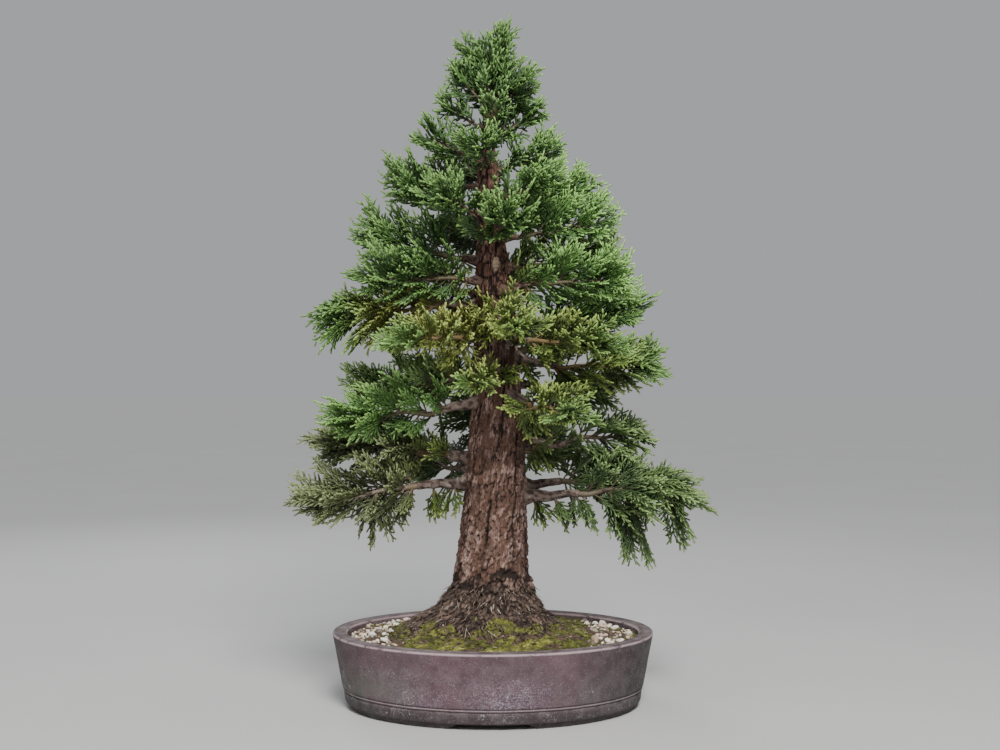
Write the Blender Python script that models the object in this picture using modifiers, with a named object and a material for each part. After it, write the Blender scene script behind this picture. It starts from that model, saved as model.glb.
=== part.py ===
"""A giant sequoia bonsai in an oval unglazed clay pot.

The pot stands on four low feet at z = 0. It holds soil, two drain screens and
two patches of gravel. The trunk, its root base and the bare wood of all limbs
are one grown body. Each limb carries one spray: a slim green core that goes on
from the end of the bare wood, with tapering cord-like shoots and twiglets.

Axes: +X to the right and +Y to the back as the tree is shown, +Z up.
Run it with: blender --background --python part.py
"""
import math
from collections import namedtuple

import bpy
import bmesh
import numpy as np
from mathutils import Matrix, Vector

MM = 0.001

# The whole plant is shifted by this much, so that its box is centred on the origin
BOX_CENTRE_X = 0.3
BOX_CENTRE_Y = -10.0

# Pot, in millimetres
POT_LENGTH = 398.0
POT_WIDTH = 311.0
POT_HEIGHT = 91.0
POT_CENTRE_X = -4.4
POT_SIDES = 48
FLOOR_TOP = 16.0
INNER_WALL_HEIGHTS = (FLOOR_TOP, 22.0, 84.0, 89.6)
INNER_WALL_INSETS = (32.0, 27.0, 19.0, 17.6)
FOOT_HEIGHT = 6.0
FOOT_OUTER_INSET = 21.0
FOOT_INNER_INSET = 46.0
FRONT_GAP_WIDTH = 100.0
END_GAP_WIDTH = 60.0
GAP_SLANT = 7.0
GAP_HEIGHT = 5.6
DRAIN_OFFSET_X = 85.0
DRAIN_RADIUS = 12.5
DRAIN_SIDES = 20

# Drain screens over the holes, in millimetres
SCREEN_SIDE = 42.0
SCREEN_THICK = 1.0
SCREEN_HOLE = 13.0
SCREEN_PITCH = 18.0
SCREEN_HOLES = 2

# Clearances between neighbouring pieces, in millimetres
GAP = 0.3
WALL_GAP = 0.6
LIMB_GAP = 0.5
TWIG_CLEARANCE = 0.6

# Soil, in millimetres
SOIL_EDGE_HEIGHT = 83.0
SOIL_MOUND_HEIGHT = 99.3
SOIL_HOLE_FLOOR = 55.0
SOIL_MOUND_POWER = 1.5
SOIL_WALL_HEIGHTS = (60.0, 22.5)
SOIL_STEPS = (0.0, 0.12, 0.3, 0.52, 0.76, 1.0)

# Gravel patches, in millimetres
BED_LIFT = 0.5
BED_THICK = 2.2
BED_ROWS = 3
BED_INNER_STEP = 0.5
BED_END_STEP = 0.86
BED_OUTER_STEP = 0.985
PEBBLE_COUNT = 16
PEBBLE_RADIUS = (3.4, 5.2)
PEBBLE_FLATNESS = 0.58
PEBBLE_RISE = 0.9
GOLDEN_SHARE = 0.618034

# Trunk: height, centre x, centre y and mean radius of each station, in millimetres
TRUNK_SIDES = 32
TRUNK_STATIONS = (
    (55.0, -9.0, 0.0, 69.0),
    (101.0, -9.0, 0.0, 69.0),
    (112.0, -8.5, 0.0, 60.0),
    (124.0, -8.0, 0.0, 54.0),
    (139.0, -7.5, 0.0, 49.0),
    (157.0, -6.5, 0.0, 45.5),
    (176.0, -5.6, 0.0, 43.0),
    (251.0, -1.9, 1.0, 37.5),
    (326.0, -0.6, 2.0, 34.0),
    (376.0, 0.6, 2.0, 30.5),
    (440.0, -1.5, 1.0, 26.5),
    (501.0, -4.4, 0.0, 23.0),
    (565.0, -6.5, -1.0, 18.8),
    (626.0, -8.1, -1.0, 15.0),
    (689.0, -10.6, 0.0, 8.5),
    (751.0, -8.1, 1.0, 4.0),
    (801.0, 0.6, 1.0, 2.4),
    (849.0, 13.1, 0.0, 1.0),
)
TRUNK_RING_HEIGHTS = (55.0, 101.0, 106.0, 112.0, 119.0, 128.0, 142.0, 160.0, 185.0,
                      220.0, 265.0, 315.0, 370.0, 430.0, 490.0, 550.0, 600.0, 640.0)
BARE_STEM_HEIGHTS = (628.0, 655.0, 689.0, 720.0, 751.0)
LOBE_HEIGHTS = (101.0, 124.0, 176.0, 300.0)
LOBE_SHARES = (0.17, 0.12, 0.05, 0.02)
FURROW_SHARE = 0.045
TRUNK_TWIST = 0.35
TRUNK_TWIST_TOP = 640.0

# Limbs: height on the trunk, heading in degrees (0 right, 90 back), reach from the trunk's
# axis, height of the tip, sag at mid length, share of bare wood, length of the longest
# side shoots, length of a hanging shoot, and the tint of the foliage. Lengths in millimetres
Limb = namedtuple("Limb", "name base heading reach tip sag bare pad hang tint")
LIMBS = (
    Limb("left_1", 274, 187, 256, 238, -6, 0.36, 74, 70, "grey"),
    Limb("left_2", 299, 169, 256, 318, -8, 0.32, 70, 0, "grey"),
    Limb("left_3", 379, 197, 222, 352, 10, 0.36, 66, 0, "green"),
    Limb("left_4", 414, 160, 205, 398, 14, 0.34, 62, 0, "deep"),
    Limb("left_5", 492, 186, 230, 468, -4, 0.24, 66, 0, "yellow"),
    Limb("left_6", 549, 172, 178, 592, 0, 0.22, 56, 0, "green"),
    Limb("left_7", 524, 203, 178, 516, -4, 0.22, 54, 0, "green"),
    Limb("left_8", 601, 186, 136, 664, -2, 0.20, 48, 0, "green"),
    Limb("left_9", 636, 158, 124, 650, -6, 0.20, 42, 0, "deep"),
    Limb("left_10", 668, 192, 96, 718, -2, 0.18, 38, 0, "green"),
    Limb("left_11", 712, 172, 68, 762, -2, 0.16, 30, 0, "green"),
    Limb("left_12", 742, 198, 56, 800, -2, 0.16, 30, 0, "green"),
    Limb("right_1", 251, 356, 262, 264, -6, 0.38, 72, 92, "deep"),
    Limb("right_2", 268, 27, 246, 262, -4, 0.36, 70, 0, "deep"),
    Limb("right_3", 326, 9, 208, 342, 6, 0.42, 58, 0, "deep"),
    Limb("right_4", 433, 353, 212, 420, 10, 0.34, 62, 0, "yellow"),
    Limb("right_5", 402, 32, 196, 386, 8, 0.34, 58, 0, "deep"),
    Limb("right_6", 470, 10, 198, 498, 0, 0.28, 58, 0, "green"),
    Limb("right_7", 514, 338, 186, 520, -4, 0.26, 54, 0, "green"),
    Limb("right_8", 541, 22, 176, 552, -4, 0.24, 52, 0, "deep"),
    Limb("right_9", 575, 354, 160, 604, -2, 0.20, 52, 0, "green"),
    Limb("right_10", 616, 14, 138, 650, -2, 0.20, 46, 0, "green"),
    Limb("right_11", 660, 350, 98, 694, -2, 0.18, 40, 0, "green"),
    Limb("right_12", 704, 12, 72, 744, -2, 0.16, 32, 0, "green"),
    Limb("right_13", 735, 348, 66, 788, -2, 0.16, 32, 0, "green"),
    Limb("front_1", 384, 302, 194, 352, 4, 0.34, 54, 0, "yellow"),
    Limb("front_2", 410, 264, 182, 392, 0, 0.34, 50, 0, "yellow"),
    Limb("front_3", 456, 234, 196, 446, 2, 0.28, 58, 0, "yellow"),
    Limb("front_4", 452, 318, 200, 442, 2, 0.28, 58, 0, "yellow"),
    Limb("front_5", 474, 282, 168, 452, -2, 0.30, 46, 0, "yellow"),
    Limb("front_6", 572, 280, 138, 590, -6, 0.24, 50, 0, "green"),
    Limb("front_7", 596, 236, 132, 622, -4, 0.22, 46, 0, "green"),
    Limb("front_8", 620, 310, 124, 640, -4, 0.22, 44, 0, "green"),
    Limb("front_9", 664, 262, 88, 688, -4, 0.20, 38, 0, "green"),
    Limb("front_10", 706, 286, 62, 742, -2, 0.18, 30, 0, "green"),
    Limb("front_11", 738, 262, 46, 786, -2, 0.18, 28, 0, "green"),
    Limb("back_1", 290, 130, 214, 288, -2, 0.34, 68, 0, "deep"),
    Limb("back_2", 308, 66, 208, 306, -2, 0.34, 68, 0, "deep"),
    Limb("back_3", 356, 97, 198, 352, -2, 0.32, 62, 0, "deep"),
    Limb("back_4", 396, 129, 196, 392, -2, 0.30, 60, 0, "deep"),
    Limb("back_5", 440, 63, 188, 442, -2, 0.30, 58, 0, "deep"),
    Limb("back_6", 470, 108, 180, 474, -2, 0.28, 58, 0, "deep"),
    Limb("back_7", 508, 142, 178, 520, -2, 0.26, 54, 0, "deep"),
    Limb("back_8", 528, 76, 170, 540, -2, 0.26, 54, 0, "deep"),
    Limb("back_9", 582, 112, 150, 602, -2, 0.24, 50, 0, "deep"),
    Limb("back_10", 604, 60, 140, 626, -2, 0.22, 48, 0, "deep"),
    Limb("back_11", 652, 98, 110, 680, -2, 0.20, 42, 0, "deep"),
    Limb("back_12", 700, 84, 76, 738, -2, 0.18, 34, 0, "green"),
    Limb("back_13", 734, 106, 52, 784, -2, 0.18, 30, 0, "green"),
)
LIMB_ROOT_SHARE = 0.4
LIMB_RADIUS_BASE = 1.4
LIMB_RADIUS_PER_REACH = 0.018
LIMB_END_SHARE = 0.58
LIMB_RISE_POWER = 1.4
LIMB_SWAY = 0.03
LIMB_SWAY_TURNS = 1.1
THICK_LIMB = 5.0
CORE_TIP_RADIUS = 0.9
CORE_RINGS = 4
CORE_START_SHARE = 0.92

# Shoots and twiglets, in millimetres and degrees
SHOOT_SPACING = 26.0
SHOOT_RADIUS = 1.5
TWIGLET_RADIUS = 1.25
TWIGLET_SPACING = 32.0
ROOT_LENGTH = 4.0
OPEN_INNER = 62.0
OPEN_OUTER = 34.0
TWIGLET_OPEN = 46.0
TWIGLET_SHARE_INNER = 0.7
TWIGLET_SHARE_OUTER = 0.4
TWIGLET_SWING = 20.0
ROLLS = (18.0, 162.0, 66.0, 196.0, -16.0, 114.0, 90.0)
BENDS = (0.0, 12.0, -12.0, 24.0, -24.0, 38.0, -38.0)
SHRINKS = (1.0, 0.8, 0.6)
HANG_SHARE = 0.42
HANG_ANGLES = (66.0, -82.0)
APEX_SHOOTS = 11
APEX_PAD = 60.0
APEX_OPEN = 42.0
APEX_CLOSING = 10.0
GOLDEN_ANGLE = 137.5

TINTS = {
    "green": (0.075, 0.17, 0.07),
    "deep": (0.04, 0.11, 0.065),
    "yellow": (0.16, 0.24, 0.06),
    "grey": (0.12, 0.17, 0.11),
}


def clear_scene():
    """Remove every object, so that the script can be run again in one session."""
    for item in list(bpy.data.objects):
        bpy.data.objects.remove(item)


def make_collection(name):
    collection = bpy.data.collections.new(name)
    bpy.context.scene.collection.children.link(collection)
    return collection


def make_material(name, colour, roughness):
    material = bpy.data.materials.new(name)
    material.use_nodes = True
    shader = material.node_tree.nodes["Principled BSDF"]
    shader.inputs["Base Color"].default_value = (*colour, 1.0)
    shader.inputs["Roughness"].default_value = roughness
    shader.inputs["Metallic"].default_value = 0.0
    return material


def add_object(name, mesh, collection, material=None):
    item = bpy.data.objects.new(name, mesh)
    collection.objects.link(item)
    if material is not None:
        mesh.materials.append(material)
    return item


def apply_modifiers(item):
    """Swap the object's mesh for the one that its modifiers give."""
    bpy.context.view_layer.update()
    graph = bpy.context.evaluated_depsgraph_get()
    mesh = bpy.data.meshes.new_from_object(item.evaluated_get(graph))
    item.modifiers.clear()
    item.data = mesh


def shade(item, angle=35.0):
    item.data.shade_smooth()
    item.data.set_sharp_from_angle(angle=math.radians(angle))


def loft(name, rings, collection, material):
    """Join rings of equal point counts, given in millimetres, with flat end caps."""
    sides = len(rings[0])
    mesh = bpy.data.meshes.new(name)
    shell = bmesh.new()
    rows = [[shell.verts.new(Vector(p) * MM) for p in ring] for ring in rings]
    for low, high in zip(rows, rows[1:]):
        for k in range(sides):
            n = (k + 1) % sides
            shell.faces.new((low[k], low[n], high[n], high[k]))
    shell.faces.new(list(reversed(rows[0])))
    shell.faces.new(rows[-1])
    bmesh.ops.recalc_face_normals(shell, faces=shell.faces)
    shell.to_mesh(mesh)
    shell.free()
    return add_object(name, mesh, collection, material)


def tube(name, points, radii, sides_code, collection, material=None):
    """A round tapering tube along points in millimetres, as a mesh with welded caps."""
    curve = bpy.data.curves.new(name, "CURVE")
    curve.dimensions = "3D"
    curve.bevel_depth = MM
    curve.bevel_resolution = sides_code
    curve.use_fill_caps = True
    spline = curve.splines.new("POLY")
    spline.points.add(len(points) - 1)
    for spot, place, radius in zip(spline.points, points, radii):
        spot.co = (*(Vector(place) * MM), 1.0)
        spot.radius = radius
    guide = bpy.data.objects.new(name + "_curve", curve)
    bpy.context.scene.collection.objects.link(guide)
    bpy.context.view_layer.update()
    graph = bpy.context.evaluated_depsgraph_get()
    mesh = bpy.data.meshes.new_from_object(guide.evaluated_get(graph))
    mesh.name = name
    weld = bmesh.new()
    weld.from_mesh(mesh)
    bmesh.ops.remove_doubles(weld, verts=weld.verts, dist=0.00001)
    bmesh.ops.recalc_face_normals(weld, faces=weld.faces)
    weld.to_mesh(mesh)
    weld.free()
    place = guide.matrix_world.copy()
    bpy.data.objects.remove(guide)
    item = add_object(name, mesh, collection, material)
    item.matrix_world = place
    return item


def spindle(name, start, direction, length, radius, collection):
    """A three-sided cone whose base is drawn back to a point, the root, at its start."""
    mesh = bpy.data.meshes.new(name)
    shape = bmesh.new()
    turn = Vector((0.0, 0.0, 1.0)).rotation_difference(Vector(direction))
    widest = Vector(start) + Vector(direction) * ROOT_LENGTH
    middle = Matrix.Translation((0.0, 0.0, (length - ROOT_LENGTH) * MM / 2.0))
    place = Matrix.Translation(widest * MM) @ turn.to_matrix().to_4x4() @ middle
    bmesh.ops.create_cone(shape, cap_ends=True, cap_tris=True, segments=3, radius1=radius * MM,
                          radius2=0.0, depth=(length - ROOT_LENGTH) * MM, matrix=place)
    root = min(shape.verts, key=lambda v: (v.co - widest * MM).length)
    root.co = Vector(start) * MM
    bmesh.ops.recalc_face_normals(shape, faces=shape.faces)
    shape.to_mesh(mesh)
    shape.free()
    return add_object(name, mesh, collection)


def join_collection(item, pieces):
    """Union the object with every piece in a collection, then remove those pieces."""
    join = item.modifiers.new("join", "BOOLEAN")
    join.operation = "UNION"
    join.operand_type = "COLLECTION"
    join.collection = pieces
    join.solver = "MANIFOLD"
    apply_modifiers(item)
    for piece in list(pieces.objects):
        bpy.data.objects.remove(piece)
    bpy.data.collections.remove(pieces)


def cut_with(item, cutter, name):
    cut = item.modifiers.new(name, "BOOLEAN")
    cut.operation = "DIFFERENCE"
    cut.object = cutter
    cutter.hide_render = True
    cutter.display_type = "WIRE"


def box_object(name, centre, size, collection, material=None, top_shrink=(0.0, 0.0)):
    """A box in millimetres, whose top may be narrower than its base."""
    mesh = bpy.data.meshes.new(name)
    shape = bmesh.new()
    bmesh.ops.create_cube(shape, size=1.0)
    for corner in shape.verts:
        shrink = (0.0, 0.0) if corner.co.z < 0.0 else top_shrink
        corner.co.x *= (size[0] - shrink[0]) * MM
        corner.co.y *= (size[1] - shrink[1]) * MM
        corner.co.z *= size[2] * MM
    shape.to_mesh(mesh)
    shape.free()
    item = add_object(name, mesh, collection, material)
    item.location = Vector(centre) * MM
    return item


# Pot
def pot_ring(inset, height, sides=POT_SIDES):
    """Points of an ellipse drawn in from the rim's outline by the inset."""
    turn = np.arange(sides) * 2.0 * np.pi / sides
    x = POT_CENTRE_X + BOX_CENTRE_X + (POT_LENGTH / 2.0 - inset) * np.cos(turn)
    y = BOX_CENTRE_Y + (POT_WIDTH / 2.0 - inset) * np.sin(turn)
    return np.column_stack([x, y, np.full(sides, height)])


def inner_inset(height):
    return float(np.interp(height, INNER_WALL_HEIGHTS, INNER_WALL_INSETS))


def pot_profile():
    """Inset and height of each ring, from the underside, up the outside and down inside."""
    foot = [(FOOT_INNER_INSET + 1.5, FOOT_HEIGHT), (FOOT_INNER_INSET, 0.0),
            (FOOT_OUTER_INSET, 0.0), (FOOT_OUTER_INSET - 1.0, FOOT_HEIGHT)]
    lower_band = [(16.6, FOOT_HEIGHT + 0.4), (15.2, 8.2), (13.8, 20.0)]
    bead = [(15.0, 20.9), (12.9, 22.0), (12.6, 23.4), (13.9, 24.4), (12.0, 25.4)]
    lip = [(0.0, 88.4), (0.7, 90.3), (2.5, POT_HEIGHT), (15.6, POT_HEIGHT)]
    inside = list(zip(reversed(INNER_WALL_INSETS), reversed(INNER_WALL_HEIGHTS)))
    return foot + lower_band + bead + lip + inside


def foot_cutters(cutters):
    """Four blocks that part the foot ring into four feet."""
    x = POT_CENTRE_X + BOX_CENTRE_X
    y = BOX_CENTRE_Y
    height = 2.0 * GAP_HEIGHT
    depth = FOOT_INNER_INSET - FOOT_OUTER_INSET + 12.0
    middle_y = POT_WIDTH / 2.0 - (FOOT_INNER_INSET + FOOT_OUTER_INSET) / 2.0
    middle_x = POT_LENGTH / 2.0 - (FOOT_INNER_INSET + FOOT_OUTER_INSET) / 2.0
    slant = 4.0 * GAP_SLANT
    made = []
    for side, label in ((-1.0, "front"), (1.0, "back")):
        made.append(box_object("cut_foot_" + label, (x, y + side * middle_y, 0.0),
                               (FRONT_GAP_WIDTH + slant / 2.0, depth, height), cutters,
                               top_shrink=(slant, 0.0)))
    for side, label in ((-1.0, "left"), (1.0, "right")):
        made.append(box_object("cut_foot_" + label, (x + side * middle_x, y, 0.0),
                               (depth, END_GAP_WIDTH + slant / 2.0, height), cutters,
                               top_shrink=(0.0, slant)))
    return made


def drain_cutter(label, x, cutters):
    mesh = bpy.data.meshes.new("cut_drain_" + label)
    shape = bmesh.new()
    bmesh.ops.create_cone(shape, cap_ends=True, segments=DRAIN_SIDES, radius1=DRAIN_RADIUS * MM,
                          radius2=DRAIN_RADIUS * MM, depth=2.0 * FLOOR_TOP * MM)
    shape.to_mesh(mesh)
    shape.free()
    item = add_object("cut_drain_" + label, mesh, cutters)
    item.location = Vector((x, BOX_CENTRE_Y, FLOOR_TOP * 0.6)) * MM
    return item


def drain_places():
    middle = POT_CENTRE_X + BOX_CENTRE_X
    return (("left", middle - DRAIN_OFFSET_X), ("right", middle + DRAIN_OFFSET_X))


def build_pot(parts, cutters):
    clay = make_material("pot_clay", (0.19, 0.13, 0.125), 0.62)
    rings = [pot_ring(inset, height) for inset, height in pot_profile()]
    pot = loft("pot", rings, parts, clay)
    for cutter in foot_cutters(cutters):
        cut_with(pot, cutter, cutter.name)
    for label, x in drain_places():
        cutter = drain_cutter(label, x, cutters)
        cut_with(pot, cutter, cutter.name)
    shade(pot)


def build_screens(parts, cutters):
    """A square plastic mesh over each drain hole."""
    plastic = make_material("screen_plastic", (0.03, 0.03, 0.03), 0.6)
    for label, x in drain_places():
        middle = FLOOR_TOP + GAP + SCREEN_THICK / 2.0
        screen = box_object("drain_screen_" + label, (x, BOX_CENTRE_Y, middle),
                            (SCREEN_SIDE, SCREEN_SIDE, SCREEN_THICK), parts, plastic)
        corner = SCREEN_PITCH * (SCREEN_HOLES - 1) / 2.0
        cutter = box_object("cut_mesh_" + label, (x - corner, BOX_CENTRE_Y - corner, middle),
                            (SCREEN_HOLE, SCREEN_HOLE, 4.0 * SCREEN_THICK), cutters)
        for axis in (0, 1):
            repeat = cutter.modifiers.new("repeat", "ARRAY")
            repeat.count = SCREEN_HOLES
            repeat.use_relative_offset = False
            repeat.use_constant_offset = True
            repeat.constant_offset_displace = [0.0, 0.0, 0.0]
            repeat.constant_offset_displace[axis] = SCREEN_PITCH * MM
            repeat.merge_threshold = 0.0001
        cut_with(screen, cutter, "mesh_holes")


# Trunk
def trunk_centre(height):
    """Centre of the trunk at a height, in millimetres."""
    heights = [station[0] for station in TRUNK_STATIONS]
    x = np.interp(height, heights, [station[1] for station in TRUNK_STATIONS])
    y = np.interp(height, heights, [station[2] for station in TRUNK_STATIONS])
    return np.array([x + BOX_CENTRE_X, y + BOX_CENTRE_Y, height])


def trunk_radius(height):
    heights = [station[0] for station in TRUNK_STATIONS]
    return float(np.interp(height, heights, [station[3] for station in TRUNK_STATIONS]))


def root_lobes(turn):
    """Swellings of the root base round the trunk, between about -1 and 1."""
    return (0.5 * np.cos(5.0 * turn + 0.6) + 0.32 * np.cos(3.0 * turn + 2.1)
            + 0.18 * np.cos(8.0 * turn + 1.0))


def trunk_ring(height, spare=0.0):
    """One lobed and furrowed outline of the trunk, grown outwards by a spare distance."""
    share = (height - TRUNK_STATIONS[1][0]) / (TRUNK_TWIST_TOP - TRUNK_STATIONS[1][0])
    twist = TRUNK_TWIST * max(share, 0.0)
    step = np.arange(TRUNK_SIDES)
    turn = step * 2.0 * np.pi / TRUNK_SIDES
    lobe = np.interp(height, LOBE_HEIGHTS, LOBE_SHARES) * root_lobes(turn)
    furrow = FURROW_SHARE * np.where(step % 2 == 0, 1.0, -1.0)
    radius = trunk_radius(height) * (1.0 + lobe + furrow) + spare
    around = np.column_stack([np.cos(turn + twist), np.sin(turn + twist), np.zeros(TRUNK_SIDES)])
    return trunk_centre(height) + around * radius[:, None]


def limb_axis(limb, share):
    """Point of a limb's curve at a share of its length: an even rise, a sag and a sway."""
    heading = math.radians(limb.heading)
    start = trunk_centre(limb.base)
    away = np.array([math.cos(heading), math.sin(heading), 0.0])
    aside = np.array([-math.sin(heading), math.cos(heading), 0.0])
    wave = math.sin(2.0 * math.pi * LIMB_SWAY_TURNS * share) * math.sin(limb.base)
    sway = LIMB_SWAY * limb.reach * wave
    rise = (limb.tip - limb.base) * share ** LIMB_RISE_POWER
    rise -= 4.0 * limb.sag * share * (1.0 - share)
    return start + away * limb.reach * share + aside * sway + np.array([0.0, 0.0, rise])


def limb_radius(limb, share):
    """The limb thins evenly from the trunk to the end of its bare wood."""
    thick = LIMB_RADIUS_BASE + LIMB_RADIUS_PER_REACH * limb.reach
    return thick * (1.0 - (1.0 - LIMB_END_SHARE) * min(share / limb.bare, 1.0))


def bare_shares(limb):
    """Shares of the limb's length at which its wooden tube has a ring."""
    root = LIMB_ROOT_SHARE * trunk_radius(limb.base) / limb.reach
    steps = 4 if limb_radius(limb, 0.0) > THICK_LIMB else 3
    return np.linspace(root, limb.bare, steps)


def build_trunk(parts):
    """Root base, trunk and the bare wood of the limbs as one grown body."""
    bark = make_material("trunk_bark", (0.13, 0.075, 0.055), 0.9)
    trunk = loft("trunk", [trunk_ring(height) for height in TRUNK_RING_HEIGHTS], parts, bark)
    wood = make_collection("limb_wood")
    stem = [trunk_centre(height) for height in BARE_STEM_HEIGHTS]
    tube("stem", stem, [trunk_radius(height) for height in BARE_STEM_HEIGHTS], 2, wood)
    for limb in LIMBS:
        shares = bare_shares(limb)
        radii = [limb_radius(limb, share) for share in shares]
        sides_code = 1 if radii[0] > THICK_LIMB else 0
        tube(limb.name, [limb_axis(limb, share) for share in shares], radii, sides_code, wood)
    join_collection(trunk, wood)
    shade(trunk, 30.0)


# Soil and gravel
def soil_ring(step):
    """Outline of the soil's surface at a share of the way from the trunk to the pot."""
    inner = trunk_ring(TRUNK_STATIONS[1][0], GAP)
    outer = pot_ring(inner_inset(SOIL_EDGE_HEIGHT) + WALL_GAP, 0.0, TRUNK_SIDES)
    ring = inner + (outer - inner) * step
    mound = (SOIL_MOUND_HEIGHT - SOIL_EDGE_HEIGHT) * (1.0 - step) ** SOIL_MOUND_POWER
    ring[:, 2] = SOIL_EDGE_HEIGHT + mound
    return ring


def build_soil(parts, cutters):
    """Soil that fills the pot, with a plain hole for the trunk's foot."""
    earth = make_material("soil_mix", (0.09, 0.085, 0.03), 0.95)
    hole_floor = trunk_ring(TRUNK_STATIONS[1][0], GAP)
    hole_floor[:, 2] = SOIL_HOLE_FLOOR - GAP
    surface = [soil_ring(step) for step in SOIL_STEPS]
    bottom = FLOOR_TOP + GAP
    walls = [pot_ring(inner_inset(height) + WALL_GAP, height, TRUNK_SIDES)
             for height in (*SOIL_WALL_HEIGHTS, bottom)]
    soil = loft("soil", [hole_floor] + surface + walls, parts, earth)
    for label, x in drain_places():
        height = SCREEN_THICK + 2.0 * GAP
        pocket = box_object("cut_pocket_" + label, (x, BOX_CENTRE_Y, FLOOR_TOP),
                            (SCREEN_SIDE + 2.0 * GAP, SCREEN_SIDE + 2.0 * GAP, 2.0 * height),
                            cutters)
        cut_with(soil, pocket, pocket.name)
    shade(soil, 60.0)


def gravel_bed(name, first, last, parts, material):
    """A thin bed that follows the soil's surface between two of its outline points."""
    count = last - first + 1
    grid = np.zeros((BED_ROWS, count, 3))
    for column in range(count):
        off_middle = abs(2.0 * column / (count - 1) - 1.0)
        inner_edge = BED_INNER_STEP + (BED_END_STEP - BED_INNER_STEP) * off_middle ** 2
        for row, step in enumerate(np.linspace(inner_edge, BED_OUTER_STEP, BED_ROWS)):
            grid[row, column] = soil_ring(step)[(first + column) % TRUNK_SIDES]
    mesh = bpy.data.meshes.new(name)
    shape = bmesh.new()
    low = [[shape.verts.new((Vector(p) + Vector((0, 0, BED_LIFT))) * MM) for p in row]
           for row in grid]
    for row, near in zip(low, low[1:]):
        for k in range(count - 1):
            shape.faces.new((row[k], row[k + 1], near[k + 1], near[k]))
    base = list(shape.faces)
    raised = bmesh.ops.extrude_face_region(shape, geom=base)
    for item in raised["geom"]:
        if isinstance(item, bmesh.types.BMVert):
            item.co.z += BED_THICK * MM
    bmesh.ops.recalc_face_normals(shape, faces=shape.faces)
    shape.to_mesh(mesh)
    shape.free()
    return add_object(name, mesh, parts, material), grid


def pebble_places(grid, count):
    """Evenly scattered spots on a bed's grid, in millimetres, clear of its edges."""
    rows, columns = grid.shape[0] - 1, grid.shape[1] - 1
    for k in range(count):
        inwards = (0.12 + 0.74 * ((k * GOLDEN_SHARE) % 1.0)) * rows
        sideways = (0.04 + 0.92 * (k + 0.5) / count) * columns
        r, c = min(int(inwards), rows - 1), min(int(sideways), columns - 1)
        u, v = inwards - r, sideways - c
        near = grid[r, c] * (1.0 - v) + grid[r, c + 1] * v
        far = grid[r + 1, c] * (1.0 - v) + grid[r + 1, c + 1] * v
        yield near * (1.0 - u) + far * u


def build_gravel(parts):
    """Two patches of pebbles, one at each end of the pot."""
    stone = make_material("gravel_stone", (0.62, 0.55, 0.48), 0.8)
    left_end = TRUNK_SIDES // 2
    patches = (("gravel_left", left_end - 5, left_end + 4), ("gravel_right", -4, 4))
    for name, first, last in patches:
        bed, grid = gravel_bed(name, first, last, parts, stone)
        pebbles = make_collection(name + "_pebbles")
        for k, place in enumerate(pebble_places(grid, PEBBLE_COUNT)):
            share = (k * (1.0 - GOLDEN_SHARE)) % 1.0
            radius = PEBBLE_RADIUS[0] + (PEBBLE_RADIUS[1] - PEBBLE_RADIUS[0]) * share
            mesh = bpy.data.meshes.new(name)
            shape = bmesh.new()
            bmesh.ops.create_icosphere(shape, subdivisions=1, radius=radius * MM)
            shape.to_mesh(mesh)
            shape.free()
            pebble = add_object("pebble", mesh, pebbles)
            lift = BED_LIFT + BED_THICK + PEBBLE_RISE
            pebble.location = (Vector(place) + Vector((0.0, 0.0, lift))) * MM
            pebble.rotation_euler = (0.2 * math.sin(k), 0.2 * math.cos(k), 1.7 * k)
            pebble.scale = (1.0, 0.8, PEBBLE_FLATNESS)
        join_collection(bed, pebbles)


# Sprays
class Thicket:
    """Remembers every cord placed so far and says where a new one would touch."""

    def __init__(self):
        self.starts, self.ends, self.radii, self.owners = [], [], [], []

    def add(self, start, end, radius, owner):
        self.starts.append(start)
        self.ends.append(end)
        self.radii.append(radius)
        self.owners.append(owner)

    def is_clear(self, start, end, radius, owner):
        """Compare points along the new cord with every cord of another owner."""
        other = [k for k, name in enumerate(self.owners) if name != owner]
        a, b = np.array(self.starts)[other], np.array(self.ends)[other]
        reach = np.array(self.radii)[other] + radius + TWIG_CLEARANCE
        count = max(int(np.linalg.norm(end - start) / 1.5), 4)
        spots = start + (end - start) * np.linspace(0.0, 1.0, count)[:, None]
        run = b - a
        passed = np.einsum("sk,ok->so", spots, run) - np.einsum("ok,ok->o", a, run)
        share = np.clip(passed / np.einsum("ok,ok->o", run, run), 0.0, 1.0)
        nearest = a + run * share[:, :, None]
        distance = np.linalg.norm(spots[:, None, :] - nearest, axis=2)
        return bool(np.all(distance > reach))


def unit(vector):
    return vector / np.linalg.norm(vector)


def frame_of(tangent):
    """Two directions square to a tangent: one level, one pointing up."""
    upright = np.array([0.0, 0.0, 1.0])
    if abs(tangent[2]) > 0.9:
        upright = np.array([0.0, 1.0, 0.0])
    level = unit(np.cross(tangent, upright))
    return level, np.cross(level, tangent)


def lean(tangent, open_degrees, roll_degrees):
    """Turn away from a tangent by one angle, and round it by the other."""
    level, up = frame_of(tangent)
    opening, roll = math.radians(open_degrees), math.radians(roll_degrees)
    aside = math.cos(roll) * level + math.sin(roll) * up
    return unit(math.cos(opening) * tangent + math.sin(opening) * aside)


def grow(start, tangent, open_degrees, roll_degrees, length, radius, thicket, owner):
    """Find a clear direction near the wanted one, bending or shortening where needed."""
    for shrink in SHRINKS:
        for bend in BENDS:
            direction = lean(tangent, open_degrees, roll_degrees + bend)
            end = start + direction * length * shrink
            if thicket.is_clear(start, end, radius, owner):
                return direction, length * shrink
    return None, 0.0


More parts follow.
